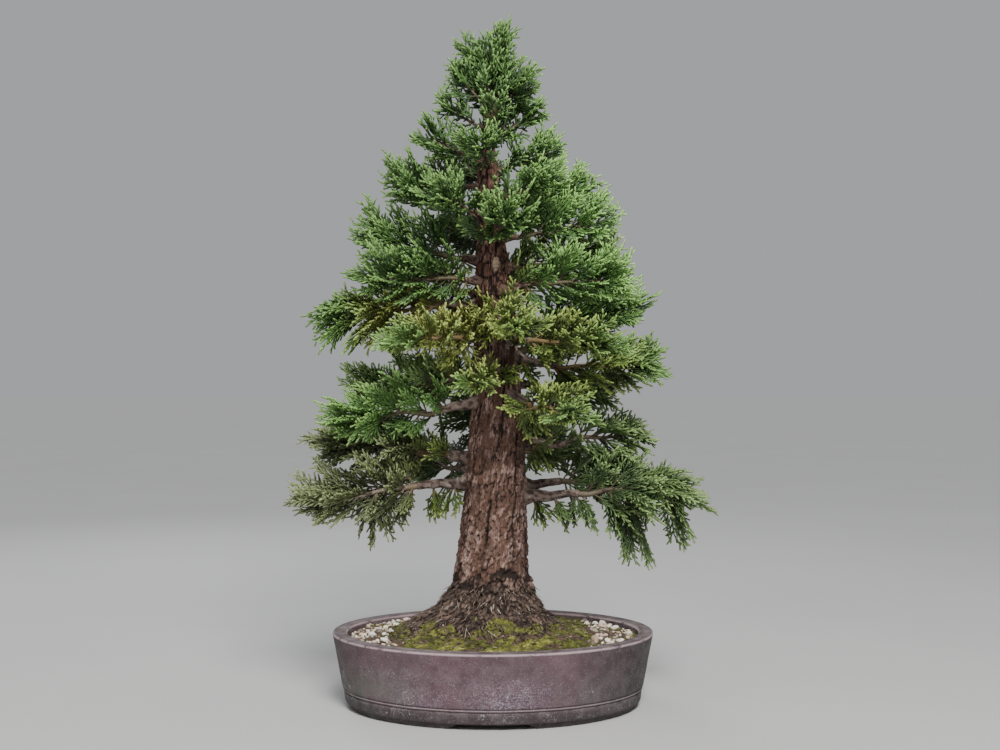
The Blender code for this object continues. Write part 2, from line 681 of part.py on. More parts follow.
def along(points, share):
    """Place and direction at a share of a line of points, which its straight runs follow."""
    spot = share * (len(points) - 1)
    k = min(int(spot), len(points) - 2)
    run = points[k + 1] - points[k]
    return points[k] + run * (spot - k), unit(run)


def pad_outline(share):
    """Length of side shoots along a spray, as a share of the longest."""
    return (0.5 + 0.5 * math.sin(math.pi * min(1.0, 0.25 + share))) * (1.0 - 0.3 * share)


def add_cord(name, start, tangent, angles, length, radius, twigs, thicket, owner):
    """Place one spindle if there is room for it, and give its direction and length."""
    direction, length = grow(start, tangent, *angles, length, radius, thicket, owner)
    if direction is None:
        return None, 0.0
    spindle(name, start, direction, length, radius, twigs)
    thicket.add(start, start + direction * length, radius, owner)
    return direction, length


def add_shoot(label, start, tangent, angles, length, twigs, thicket, owner):
    """One side shoot with its alternate twiglets."""
    direction, length = add_cord(label, start, tangent, angles, length, SHOOT_RADIUS,
                                 twigs, thicket, owner)
    if direction is None:
        return
    count = max(1, int(round(length / TWIGLET_SPACING)))
    for k in range(count):
        share = (k + 0.8) / (count + 0.6)
        side = 0.0 if k % 2 == 0 else 180.0
        part = TWIGLET_SHARE_INNER + (TWIGLET_SHARE_OUTER - TWIGLET_SHARE_INNER) * share
        roll = side + TWIGLET_SWING * math.sin(3.0 * k + length)
        add_cord(label + "_" + str(k), start + direction * length * share, direction,
                 (TWIGLET_OPEN, roll), part * length + ROOT_LENGTH, TWIGLET_RADIUS,
                 twigs, thicket, owner)


def core_points(limb):
    """Points of a spray's core, from just past the bare wood to the limb's tip."""
    first = limb.bare + LIMB_GAP / limb.reach
    return [limb_axis(limb, share) for share in np.linspace(first, 1.0, CORE_RINGS)]


def core_radii(limb):
    start = CORE_START_SHARE * limb_radius(limb, limb.bare)
    return np.linspace(start, CORE_TIP_RADIUS, CORE_RINGS)


def build_spray(limb, materials, thicket, parts):
    """The foliage of one limb: its core, side shoots and twiglets in one body."""
    name = "spray_" + limb.name
    points = core_points(limb)
    core = tube(name, points, core_radii(limb), 0, parts, materials[limb.tint])
    twigs = make_collection(name + "_twigs")
    green = (1.0 - limb.bare) * limb.reach
    count = max(3, int(round(green / SHOOT_SPACING)))
    for k in range(count):
        share = (k + 0.45) / count
        start, tangent = along(points, share)
        opening = OPEN_INNER + (OPEN_OUTER - OPEN_INNER) * share
        angles = (opening, ROLLS[k % len(ROLLS)])
        add_shoot(name + "_" + str(k), start, tangent, angles, limb.pad * pad_outline(share),
                  twigs, thicket, name)
    if limb.hang > 0.0:
        start, tangent = along(points, HANG_SHARE)
        add_shoot(name + "_hang", start, tangent, HANG_ANGLES, limb.hang, twigs, thicket, name)
    join_collection(core, twigs)


def build_apex(materials, thicket, parts):
    """The green leader above the wooden stem, with shoots all round it."""
    name = "spray_apex"
    heights = np.linspace(BARE_STEM_HEIGHTS[-1] + LIMB_GAP, TRUNK_STATIONS[-1][0], 6)
    points = [trunk_centre(height) for height in heights]
    radii = [CORE_START_SHARE * trunk_radius(height) for height in heights]
    core = tube(name, points, radii, 0, parts, materials["green"])
    twigs = make_collection(name + "_twigs")
    for k in range(APEX_SHOOTS):
        share = 0.05 + 0.66 * k / (APEX_SHOOTS - 1)
        start, tangent = along(points, share)
        length = APEX_PAD * (1.0 - 0.66 * share)
        add_shoot(name + "_" + str(k), start, tangent,
                  (APEX_OPEN - APEX_CLOSING * share, GOLDEN_ANGLE * k), length, twigs,
                  thicket, name)
    join_collection(core, twigs)


def wooden_obstacles(thicket):
    """Tell the thicket where the trunk, the limbs and the cores of all sprays are."""
    heights = np.arange(110.0, BARE_STEM_HEIGHTS[-1], 12.0)
    for low, high in zip(heights, heights[1:]):
        thicket.add(trunk_centre(low), trunk_centre(high), 1.06 * trunk_radius(low), "trunk")
    for limb in LIMBS:
        wood = [limb_axis(limb, share) for share in np.linspace(0.05, limb.bare, 4)]
        for start, end in zip(wood, wood[1:]):
            thicket.add(start, end, limb_radius(limb, 0.0), "trunk")
        core, radii = core_points(limb), core_radii(limb)
        for k in range(len(core) - 1):
            thicket.add(core[k], core[k + 1], radii[k], "spray_" + limb.name)


def build_sprays(parts):
    materials = {tint: make_material("foliage_" + tint, colour, 0.6)
                 for tint, colour in TINTS.items()}
    thicket = Thicket()
    wooden_obstacles(thicket)
    build_apex(materials, thicket, parts)
    for limb in LIMBS:
        build_spray(limb, materials, thicket, parts)


def main():
    clear_scene()
    parts = make_collection("giant_sequoia_bonsai")
    cutters = make_collection("cutters")
    build_pot(parts, cutters)
    build_screens(parts, cutters)
    build_soil(parts, cutters)
    build_gravel(parts)
    build_trunk(parts)
    build_sprays(parts)


main()
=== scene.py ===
# %% [markdown]
# # A giant sequoia bonsai, dressed for its portrait
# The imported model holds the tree's plain solids at their real size. This lesson loads
# them as a fixed frame and dresses them: fired clay, moss, pebbles, furrowed bark and
# some thirty-five thousand cord-like twiglets. All lengths are in millimetres until the
# moment they enter a mesh.

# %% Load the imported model
import itertools
import math
from collections import namedtuple
from functools import partial

import bpy
import bmesh
import numpy as np
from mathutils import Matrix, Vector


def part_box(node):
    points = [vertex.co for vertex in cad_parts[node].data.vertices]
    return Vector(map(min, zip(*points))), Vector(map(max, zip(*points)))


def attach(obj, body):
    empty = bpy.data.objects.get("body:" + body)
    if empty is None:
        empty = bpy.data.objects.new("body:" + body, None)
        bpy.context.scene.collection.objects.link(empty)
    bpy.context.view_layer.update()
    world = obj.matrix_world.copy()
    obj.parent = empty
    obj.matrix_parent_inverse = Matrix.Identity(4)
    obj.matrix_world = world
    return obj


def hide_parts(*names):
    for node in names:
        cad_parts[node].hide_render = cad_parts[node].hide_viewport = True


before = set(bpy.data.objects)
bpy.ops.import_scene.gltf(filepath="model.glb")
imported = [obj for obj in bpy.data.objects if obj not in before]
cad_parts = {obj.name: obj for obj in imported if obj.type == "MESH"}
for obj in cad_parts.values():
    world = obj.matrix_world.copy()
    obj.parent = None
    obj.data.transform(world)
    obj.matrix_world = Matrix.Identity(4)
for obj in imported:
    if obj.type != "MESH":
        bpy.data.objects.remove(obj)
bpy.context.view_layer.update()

MM = 0.001

# %% [markdown]
# ## Camera, floor and light
# A bonsai is shown at eye level, from its front. The lens and the distance decide how
# much of the pot's lip is seen, so they are worked out from the photograph first: the
# lip's back edge, its front edge and the foot each fix one ray. A plain pale floor and
# soft lights come next. The key light stands in front and a little to the right, a weak
# fill in front on the left, and a third light behind on the left. An even sun and the
# sky's colour light the whole floor.

# %% Camera, floor and light
CAMERA_PLACE = (4.7, -1635.0, 389.0)
CAMERA_PITCH = 0.66
CAMERA_LENS, CAMERA_SIGHT = 46.8, 300.0
FLOOR_REACH = 90.0
FLOOR_DROP = 0.0002
LIGHTS = (("key", (0.35, -1.65, 1.6), 0.6, 44.0, (1.0, 0.98, 0.94)),
          ("fill", (-1.3, -1.5, 0.8), 0.8, 5.5, (1.0, 0.98, 0.96)),
          ("back", (-0.9, 1.6, 1.5), 0.8, 12.0, (0.96, 0.98, 1.0)))
SUN_STRENGTH, SUN_SPREAD, SUN_HEADING, SUN_HEIGHT = 1.75, 14.0, 8.0, 52.0
SKY_COLOUR, SKY_STRENGTH = (0.80, 0.82, 0.85, 1.0), 0.5


def place_camera():
    camera = bpy.data.objects.new("camera", bpy.data.cameras.new("camera"))
    bpy.context.scene.collection.objects.link(camera)
    camera.location = [c * MM for c in CAMERA_PLACE]
    camera.rotation_euler = (math.radians(90.0 + CAMERA_PITCH), 0.0, 0.0)
    camera.data.lens = CAMERA_LENS
    camera.data.clip_end = CAMERA_SIGHT
    bpy.context.scene.camera = camera


def place_light(name, place, size, power, colour, aim=(0.0, 0.0, 0.42)):
    """A square area light at a place in metres, turned towards the tree."""
    light = bpy.data.objects.new(name, bpy.data.lights.new(name, "AREA"))
    bpy.context.scene.collection.objects.link(light)
    light.data.size, light.data.energy, light.data.color = size, power, colour
    light.location = place
    away = np.array(place) - np.array(aim)
    light.rotation_euler = (math.atan2(math.hypot(away[0], away[1]), away[2]), 0.0,
                            math.atan2(away[0], -away[1]))


def place_sun(strength, spread, heading, height):
    """Even daylight over the whole floor, with soft shadows; angles in degrees."""
    sun = bpy.data.objects.new("daylight", bpy.data.lights.new("daylight", "SUN"))
    bpy.context.scene.collection.objects.link(sun)
    sun.data.energy, sun.data.angle = strength, math.radians(spread)
    sun.rotation_euler = (math.radians(90.0 - height), 0.0, math.radians(heading))


place_camera()
for row in LIGHTS:
    place_light(*row)
place_sun(SUN_STRENGTH, SUN_SPREAD, SUN_HEADING, SUN_HEIGHT)
world = bpy.data.worlds.new("studio")
world.use_nodes = True
sky = world.node_tree.nodes["Background"].inputs
sky["Color"].default_value = SKY_COLOUR
sky["Strength"].default_value = SKY_STRENGTH
bpy.context.scene.world = world

# %% [markdown]
# ## Small tools for meshes
# Every new piece is a set of points worked out with numpy and a table of faces. Two
# shapes cover nearly everything: a loft, which is a stack of closed rings, and a bundle
# of cords, which is hundreds of small tapered tubes at once. `foreach_set` hands whole
# arrays to Blender, so even a hundred thousand points take a moment.

# %% Tools for meshes


def unit(vectors):
    return vectors / np.linalg.norm(vectors, axis=-1, keepdims=True)


def circle(count):
    """Angles of evenly spaced points round a circle, in radians."""
    return np.arange(count) * 2.0 * np.pi / count


def triples(*parts):
    """Three arrays side by side, as points or as the corners of triangles."""
    return np.stack(parts, axis=-1)


def on_tube(radius, turn, height):
    """Points of an upright tube round the z axis."""
    return triples(radius * np.cos(turn), radius * np.sin(turn), height)


def grid_faces(rows, columns):
    """Quads between neighbouring rings; they face outwards when the rings run
    anticlockwise and are stacked upwards."""
    r, c = np.meshgrid(np.arange(rows - 1), np.arange(columns), indexing="ij")
    n = (c + 1) % columns
    corners = (r * columns + c, r * columns + n, (r + 1) * columns + n, (r + 1) * columns + c)
    return np.stack(corners, axis=-1).reshape(-1, 4)


def fan_faces(centre, ring, upwards):
    """Triangles from a centre point to a closed ring of point numbers."""
    after = np.roll(ring, -1)
    middle = np.full(len(ring), centre)
    order = (middle, ring, after) if upwards else (middle, after, ring)
    return np.stack(order, axis=-1)


def make_mesh(name, points, faces, values=None):
    """A smooth mesh from points in millimetres, a list of face tables and named values
    for its points."""
    mesh = bpy.data.meshes.new(name)
    mesh.vertices.add(len(points))
    mesh.vertices.foreach_set("co", (points * MM).astype(np.float32).ravel())
    corners = np.concatenate([table.ravel() for table in faces])
    sizes = np.concatenate([np.full(len(table), table.shape[1]) for table in faces])
    mesh.loops.add(len(corners))
    mesh.loops.foreach_set("vertex_index", corners.astype(np.int32))
    mesh.polygons.add(len(sizes))
    mesh.polygons.foreach_set("loop_start", (np.cumsum(sizes) - sizes).astype(np.int32))
    mesh.polygons.foreach_set("use_smooth", np.ones(len(sizes), dtype=bool))
    mesh.update(calc_edges=True)
    for label, numbers in (values or {}).items():
        layer = mesh.attributes.new(label, "FLOAT", "POINT")
        layer.data.foreach_set("value", np.asarray(numbers, dtype=np.float32).ravel())
    mesh.validate()
    return mesh


def add_piece(name, mesh, material, slot=None, nodes=()):
    """Link a finished mesh as a piece that rests with the tree and stands for CAD nodes."""
    piece = bpy.data.objects.new(name, mesh)
    bpy.context.scene.collection.objects.link(piece)
    mesh.materials.clear()
    mesh.materials.append(material)
    if slot is None:
        return piece
    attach(piece, "root")
    if nodes:
        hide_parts(*nodes)
    return piece


def triangle_count(mesh):
    return sum(len(face.vertices) - 2 for face in mesh.polygons)


def loft(rings):
    """Points and faces of stacked rings (rows, columns, 3), closed by a fan at each end."""
    rows, columns = rings.shape[:2]
    points = np.concatenate([rings.reshape(-1, 3), rings[:1].mean(axis=1), rings[-1:].mean(axis=1)])
    first, last = rows * columns, rows * columns + 1
    ends = [fan_faces(first, np.arange(columns), False),
            fan_faces(last, np.arange(columns) + (rows - 1) * columns, True)]
    return points, [grid_faces(rows, columns)] + ends


print("mesh tools ready")

# %% [markdown]
# ## Numbers that look like nature
# Bark, moss and clay are uneven in a way that repeats exactly each time the script runs.
# So the random numbers come from the place itself: each cell of an endless grid is
# mixed into one number. `noise` blends slopes between the cells' corners, which gives
# soft hills. `plates` finds the nearest of one random seed a cell, which gives cracks
# and flakes. Stretching the cell size turns hills into long furrows.

# %% Noise worked out as whole arrays
CELL_MIX = np.array([73856093, 19349663, 83492791])
LOW_BITS = 0xFFFFFFFF


def number_at(cell, salt):
    """A steady number from 0 to 1 for each whole-number cell."""
    mixed = ((cell * CELL_MIX).sum(axis=-1) + salt * 374761393) & LOW_BITS
    mixed = ((mixed ^ (mixed >> 15)) * 2246822519) & LOW_BITS
    mixed = ((mixed ^ (mixed >> 13)) * 3266489917) & LOW_BITS
    return (mixed ^ (mixed >> 16)) / LOW_BITS


def noise(points, size, salt=0):
    """Soft hills from about -1 to 1, about as wide as the size; each salt gives other
    hills. At each of a cell's eight corners a random slope gives a height, and the
    heights are blended by 3t^2 - 2t^3."""
    spot = points / size
    cell = np.floor(spot).astype(np.int64)
    inside = spot - cell
    ease = inside * inside * (3.0 - 2.0 * inside)
    total = 0.0
    for corner in itertools.product((0, 1), repeat=3):
        slope = np.stack([number_at(cell + corner, salt + k) for k in (1, 2, 3)], axis=-1)
        height = ((2.0 * slope - 1.0) * (inside - corner)).sum(axis=-1)
        total = total + height * np.where(corner, ease, 1.0 - ease).prod(axis=-1)
    return 1.6 * total


def layered(points, size, layers, salt=0):
    """Noise summed over layers, each half as wide and half as strong as the last."""
    parts = [noise(points, np.array(size) / 2 ** k, salt + 7 * k) / 2 ** k for k in range(layers)]
    return sum(parts)


def plates(points, size, salt=0):
    """For each point: how far it is from the crack between its plate and the next one,
    the plate's own number from 0 to 1, and how high the point lies on its plate."""
    spot = points / size
    cell = np.floor(spot).astype(np.int64)
    nearest, second = np.full(len(points), 9.0), np.full(len(points), 9.0)
    own, rise = np.zeros(len(points)), np.zeros(len(points))
    for step in itertools.product((-1, 0, 1), repeat=3):
        near = cell + step
        away = spot - near - np.stack([number_at(near, salt + k) for k in (1, 2, 3)], axis=-1)
        gap = np.linalg.norm(away, axis=-1)
        closer = gap < nearest
        second = np.where(closer, nearest, np.minimum(second, gap))
        own = np.where(closer, number_at(near, salt), own)
        rise = np.where(closer, away[:, 2], rise)
        nearest = np.minimum(nearest, gap)
    return second - nearest, own, rise


def groove(values, width):
    """A valley of depth 1 where the values cross zero: exp(-(v / width)^2)."""
    return np.exp(-(values / width) ** 2)


def ease_between(values, low, high):
    """0 below low, 1 above high and a smooth step between them."""
    t = np.clip((values - low) / (high - low), 0.0, 1.0)
    return t * t * (3.0 - 2.0 * t)


def fade(values, low, high):
    """1 below low, 0 above high and a smooth step between them."""
    return 1.0 - ease_between(values, low, high)


print("noise at the origin's neighbour:", float(noise(np.array([[0.5, 0.5, 0.5]]), 2.0)[0]))

# %% [markdown]
# ## Small tools for materials
# A material is a tree of nodes. `add` makes one node and fills its sockets from a
# table, so a material reads like a recipe. An effect that several materials share, such
# as grain or dust, is a node group: it is built once, and each material places it with
# its own numbers. Groups give out only colours, masks and heights. The shader itself
# stays in the material, where `surface` fills its sockets.

# %% Tools for materials


def fill(tree, inputs, sockets):
    """Give each input its value, which may be a number, a colour or another socket."""
    for key, value in sockets.items():
        if isinstance(value, bpy.types.NodeSocket):
            tree.links.new(value, inputs[key])
        else:
            inputs[key].default_value = value


def add(tree, kind, sockets=None, **settings):
    """Add a shader node with these settings and fill its sockets."""
    made = tree.nodes.new("ShaderNode" + kind)
    for name, value in settings.items():
        setattr(made, name, value)
    fill(tree, made.inputs, sockets or {})
    return made


def rgb(red, green, blue):
    return (red, green, blue, 1.0)


def blend(tree, share, first, second):
    """The first colour where the share is 0, the second where it is 1."""
    return add(tree, "Mix", {0: share, 6: first, 7: second}, data_type="RGBA").outputs[2]


def combine(tree, operation, *values):
    """Two or three numbers put together by a Math node."""
    return add(tree, "Math", dict(enumerate(values)), operation=operation).outputs[0]


def multiply(tree, first, second):
    return combine(tree, "MULTIPLY", first, second)


def maximum(tree, first, second):
    return combine(tree, "MAXIMUM", first, second)


def remap(tree, value, low, high, to_low=0.0, to_high=1.0):
    """Smoothly turn the range low to high into another range, held at its ends."""
    sockets = {"Value": value, 1: low, 2: high, 3: to_low, 4: to_high}
    return add(tree, "MapRange", sockets, interpolation_type="SMOOTHSTEP").outputs[0]


def value_noise(tree, place, scale, detail=3.0, roughness=0.55, distortion=0.0):
    """The noise node's values from 0 to 1; the scale is its waves to the metre."""
    sockets = {"Vector": place, "Scale": scale, "Detail": detail, "Roughness": roughness,
               "Distortion": distortion}
    return add(tree, "TexNoise", sockets).outputs[0]


def noise_mask(tree, place, settings, low, high, *ends):
    """Noise turned into a mask that goes from 0 at low to 1 at high."""
    return remap(tree, value_noise(tree, place, *settings), low, high, *ends)


def band(tree, value, low, low_end, high, high_end):
    """A mask that one smooth step opens and a second one closes."""
    return multiply(tree, remap(tree, value, low, low_end), remap(tree, value, high, high_end))


def tint(tree, colour, mask, share, paint):
    """Paint over a colour where the mask is strong, by a share of it."""
    return blend(tree, multiply(tree, mask, share), colour, rgb(*paint))


def colour_ramp(tree, value, colours, interpolation="LINEAR"):
    """A colour for each value, from a table of shares and colours."""
    ramp = add(tree, "ValToRGB", {"Fac": value})
    stops = ramp.color_ramp
    stops.interpolation = interpolation
    while len(stops.elements) < len(colours):
        stops.elements.new(1.0)
    for stop, (share, colour) in zip(stops.elements, colours):
        stop.position, stop.color = share, (*colour, 1.0)
    return ramp.outputs[0]


def stretched(tree, place, scale):
    return add(tree, "Mapping", {"Vector": place, "Scale": scale}).outputs[0]


def read_value(tree, name):
    return add(tree, "Attribute", attribute_name=name).outputs["Fac"]


def object_place(tree):
    return add(tree, "TexCoord").outputs["Object"]


def new_group(name, inputs, outputs):
    """An empty node group. The tables give each socket's name and kind, and for a
    float input also its first value."""
    group = bpy.data.node_groups.new(name, "ShaderNodeTree")
    for label, kind, *start in inputs:
        socket = group.interface.new_socket(label, in_out="INPUT", socket_type="NodeSocket" + kind)
        if start:
            socket.default_value = start[0]
    for label, kind in outputs:
        group.interface.new_socket(label, in_out="OUTPUT", socket_type="NodeSocket" + kind)
    return group, group.nodes.new("NodeGroupInput").outputs, group.nodes.new("NodeGroupOutput")


def use_group(tree, group, sockets):
    made = tree.nodes.new("ShaderNodeGroup")
    made.node_tree = group
    fill(tree, made.inputs, sockets)
    return made.outputs


def new_material(name):
    material = bpy.data.materials.new(name)
    material.use_nodes = True
    tree = material.node_tree
    return material, tree, tree.nodes["Principled BSDF"].inputs


def bump(tree, height, distance, strength=1.0):
    sockets = {"Height": height, "Distance": distance, "Strength": strength}
    return add(tree, "Bump", sockets).outputs[0]


def between(tree, mask, low, high):
    """A number that goes from low to high as the mask goes from 0 to 1."""
    return remap(tree, mask, 0.0, 1.0, low, high)


def surface(tree, shader, colour, roughness, normal, specular=0.5):
    """Fill the shader's own sockets."""
    fill(tree, shader, {"Base Color": colour, "Roughness": roughness, "Normal": normal,
                        "Specular IOR Level": specular})


def build_grain():
    """Fine unevenness: a mottling mask from two sizes of noise and a small height."""
    group, given, result = new_group("grain", [("Coarse", "Float", 60.0), ("Fine", "Float", 900.0)],
                                     [("Mottle", "Float"), ("Height", "Float")])
    place = object_place(group)
    coarse = value_noise(group, place, given["Coarse"], 4.0, 0.6)
    fine = value_noise(group, place, given["Fine"], 2.0, 0.6)
    both = combine(group, "MULTIPLY_ADD", coarse, 0.7, multiply(group, fine, 0.3))
    fill(group, result.inputs, {"Mottle": remap(group, both, 0.35, 0.65), "Height": fine})
    return group


GRAIN = build_grain()


def build_dust():
    """Pale dust: a mask that is strong on faces that look up and broken by noise."""
    group, given, result = new_group("dust", [("Scale", "Float", 120.0), ("Upward", "Float", 0.6)],
                                     [("Mask", "Float")])
    facing = add(group, "NewGeometry").outputs["Normal"]
    upward = add(group, "SeparateXYZ", {0: facing}).outputs["Z"]
    patchy = remap(group, value_noise(group, object_place(group), given["Scale"], 5.0, 0.65), 0.42, 0.62)
    lifted = combine(group, "MULTIPLY_ADD", upward, given["Upward"], 0.5)
    fill(group, result.inputs, {"Mask": multiply(group, patchy, lifted)})
    return group


DUST = build_dust()


def floor_finish():
    """Pale matt paper: almost even, with a barely visible mottle."""
    material, tree, shader = new_material("studio_floor")
    grain = use_group(tree, GRAIN, {"Coarse": 2.0, "Fine": 300.0})
    paper = blend(tree, grain["Mottle"], rgb(0.470, 0.468, 0.464), rgb(0.490, 0.488, 0.484))
    fill(tree, shader, {"Base Color": paper, "Roughness": 0.9, "Specular IOR Level": 0.2})
    return material


CORNERS = np.array([(-1.0, -1.0, 0.0), (1.0, -1.0, 0.0), (1.0, 1.0, 0.0), (-1.0, 1.0, 0.0)])
floor_points = CORNERS * FLOOR_REACH / MM - np.array([0.0, 0.0, FLOOR_DROP / MM])
floor = add_piece("floor", make_mesh("floor", floor_points, [np.array([[0, 1, 2, 3]])]), floor_finish())
print("shader groups:", [group.name for group in bpy.data.node_groups])

# %% [markdown]
# ## The pot
# The real pot is thrown or pressed in unglazed stoneware: an oval with a flat lip, a
# double bead low on the wall and four feet cut out of one foot ring. It could be built
# from a cylinder and bevels, but its wall is one profile carried round an ellipse. So it
# is a loft: each ring is the ellipse drawn in by an inset, at a height. The profile's
# corners are cut twice, which rounds them as a sponge rounds wet clay. The gaps between
# the feet raise the lowest ring by a ramp, and a Boolean drills the two drain holes.

# %% The pot's shape
BOX_CENTRE_X, BOX_CENTRE_Y = 0.3, -10.0
POT_X, POT_Y = -4.4 + BOX_CENTRE_X, BOX_CENTRE_Y
POT_LENGTH, POT_WIDTH = 398.0, 311.0
POT_COLUMNS = 192
FOOT_GAPS = ((50.0, 0), (30.0, 1))
GAP_SLANT, GAP_HEIGHT, GAP_SIDES = 7.0, 5.6, (80.0, 110.0)
DRAIN_OFFSET, DRAIN_RADIUS, DRILL_SIDES = 85.0, 12.5, 40
POT_EDGE = 50.0
WALL_WOBBLE = 0.3
# Each point is an inset from the rim's ellipse and a height
POT_PROFILE = np.array([
    (47.5, 6.0), (46.0, 0.0), (21.0, 0.0), (20.0, 6.0), (16.6, 6.4), (15.2, 8.2), (13.8, 20.0),
    (15.0, 20.9), (12.9, 22.0), (12.6, 23.4), (13.9, 24.4), (12.0, 25.4), (10.0, 36.0),
    (8.0, 47.0), (6.0, 58.0), (4.0, 68.5), (2.0, 78.5), (0.0, 88.4), (0.7, 90.3), (2.5, 91.0),
    (9.0, 90.6), (15.6, 91.0), (17.6, 89.6), (19.0, 84.0), (27.0, 22.0), (32.0, 16.0)])


def round_corners(profile, cut):
    """Swap each inner point for two, drawn towards its neighbours by the cut or by a
    third of the way where that is shorter."""
    before, here, after = profile[:-2], profile[1:-1], profile[2:]
    pairs = []
    for near in (before, after):
        run = near - here
        length = np.linalg.norm(run, axis=1, keepdims=True)
        pairs.append(here + run / length * np.minimum(cut, length / 3.0))
    inner = np.stack(pairs, axis=1).reshape(-1, 2)
    return np.concatenate([profile[:1], inner, profile[-1:]])


def oval(inset, turn):
    """Points of the rim's ellipse drawn in by an inset: x = a cos t, y = b sin t."""
    x = POT_X + (POT_LENGTH / 2.0 - inset) * np.cos(turn)
    y = POT_Y + (POT_WIDTH / 2.0 - inset) * np.sin(turn)
    return x, y


def pot_rings():
    """The profile carried round the ellipse, with foot gaps and a hand-made wobble."""
    profile = round_corners(round_corners(POT_PROFILE, 0.9), 0.35)
    turn = circle(POT_COLUMNS)
    x, y = oval(profile[:, :1], turn[None, :])
    z = np.repeat(profile[:, 1:], POT_COLUMNS, axis=1)
    for half_width, axis in FOOT_GAPS:
        across = np.abs((x - POT_X, y - POT_Y)[axis])
        faces_gap = np.abs((y - POT_Y, x - POT_X)[axis]) > GAP_SIDES[axis]
        ramp = GAP_HEIGHT * np.clip((half_width - across) / GAP_SLANT, 0.0, 1.0)
        z = np.where(faces_gap & (z < 6.0), np.maximum(z, ramp), z)
    rings = triples(x, y, z)
    outward = unit(triples(x - POT_X, y - POT_Y, np.zeros_like(x)))
    flat = rings.reshape(-1, 3)
    wobble = (noise(flat, 55.0, 3) + 0.35 * noise(flat, 14.0, 5)).reshape(x.shape)
    outside = (profile[:, 0] < 16.0) & (profile[:, 1] > 6.2)
    return rings + outward * (WALL_WOBBLE * wobble * outside[:, None])[..., None]


def drill(piece, centres, radius, low, high):
    """Cut round holes through a piece and keep the result as its mesh."""
    turn = circle(DRILL_SIDES)
    ring = on_tube(radius, turn, np.zeros(DRILL_SIDES))
    for x, y in centres:
        rings = np.stack([ring + (x, y, z) for z in (low, high)])
        cutter = bpy.data.objects.new("drill", make_mesh("drill", *loft(rings)))
        bpy.context.scene.collection.objects.link(cutter)
        cut = piece.modifiers.new("hole", "BOOLEAN")
        cut.operation, cut.object, cut.solver = "DIFFERENCE", cutter, "EXACT"
        bpy.context.view_layer.update()
        graph = bpy.context.evaluated_depsgraph_get()
        piece.data = bpy.data.meshes.new_from_object(piece.evaluated_get(graph))
        piece.modifiers.clear()
        bpy.data.objects.remove(cutter)
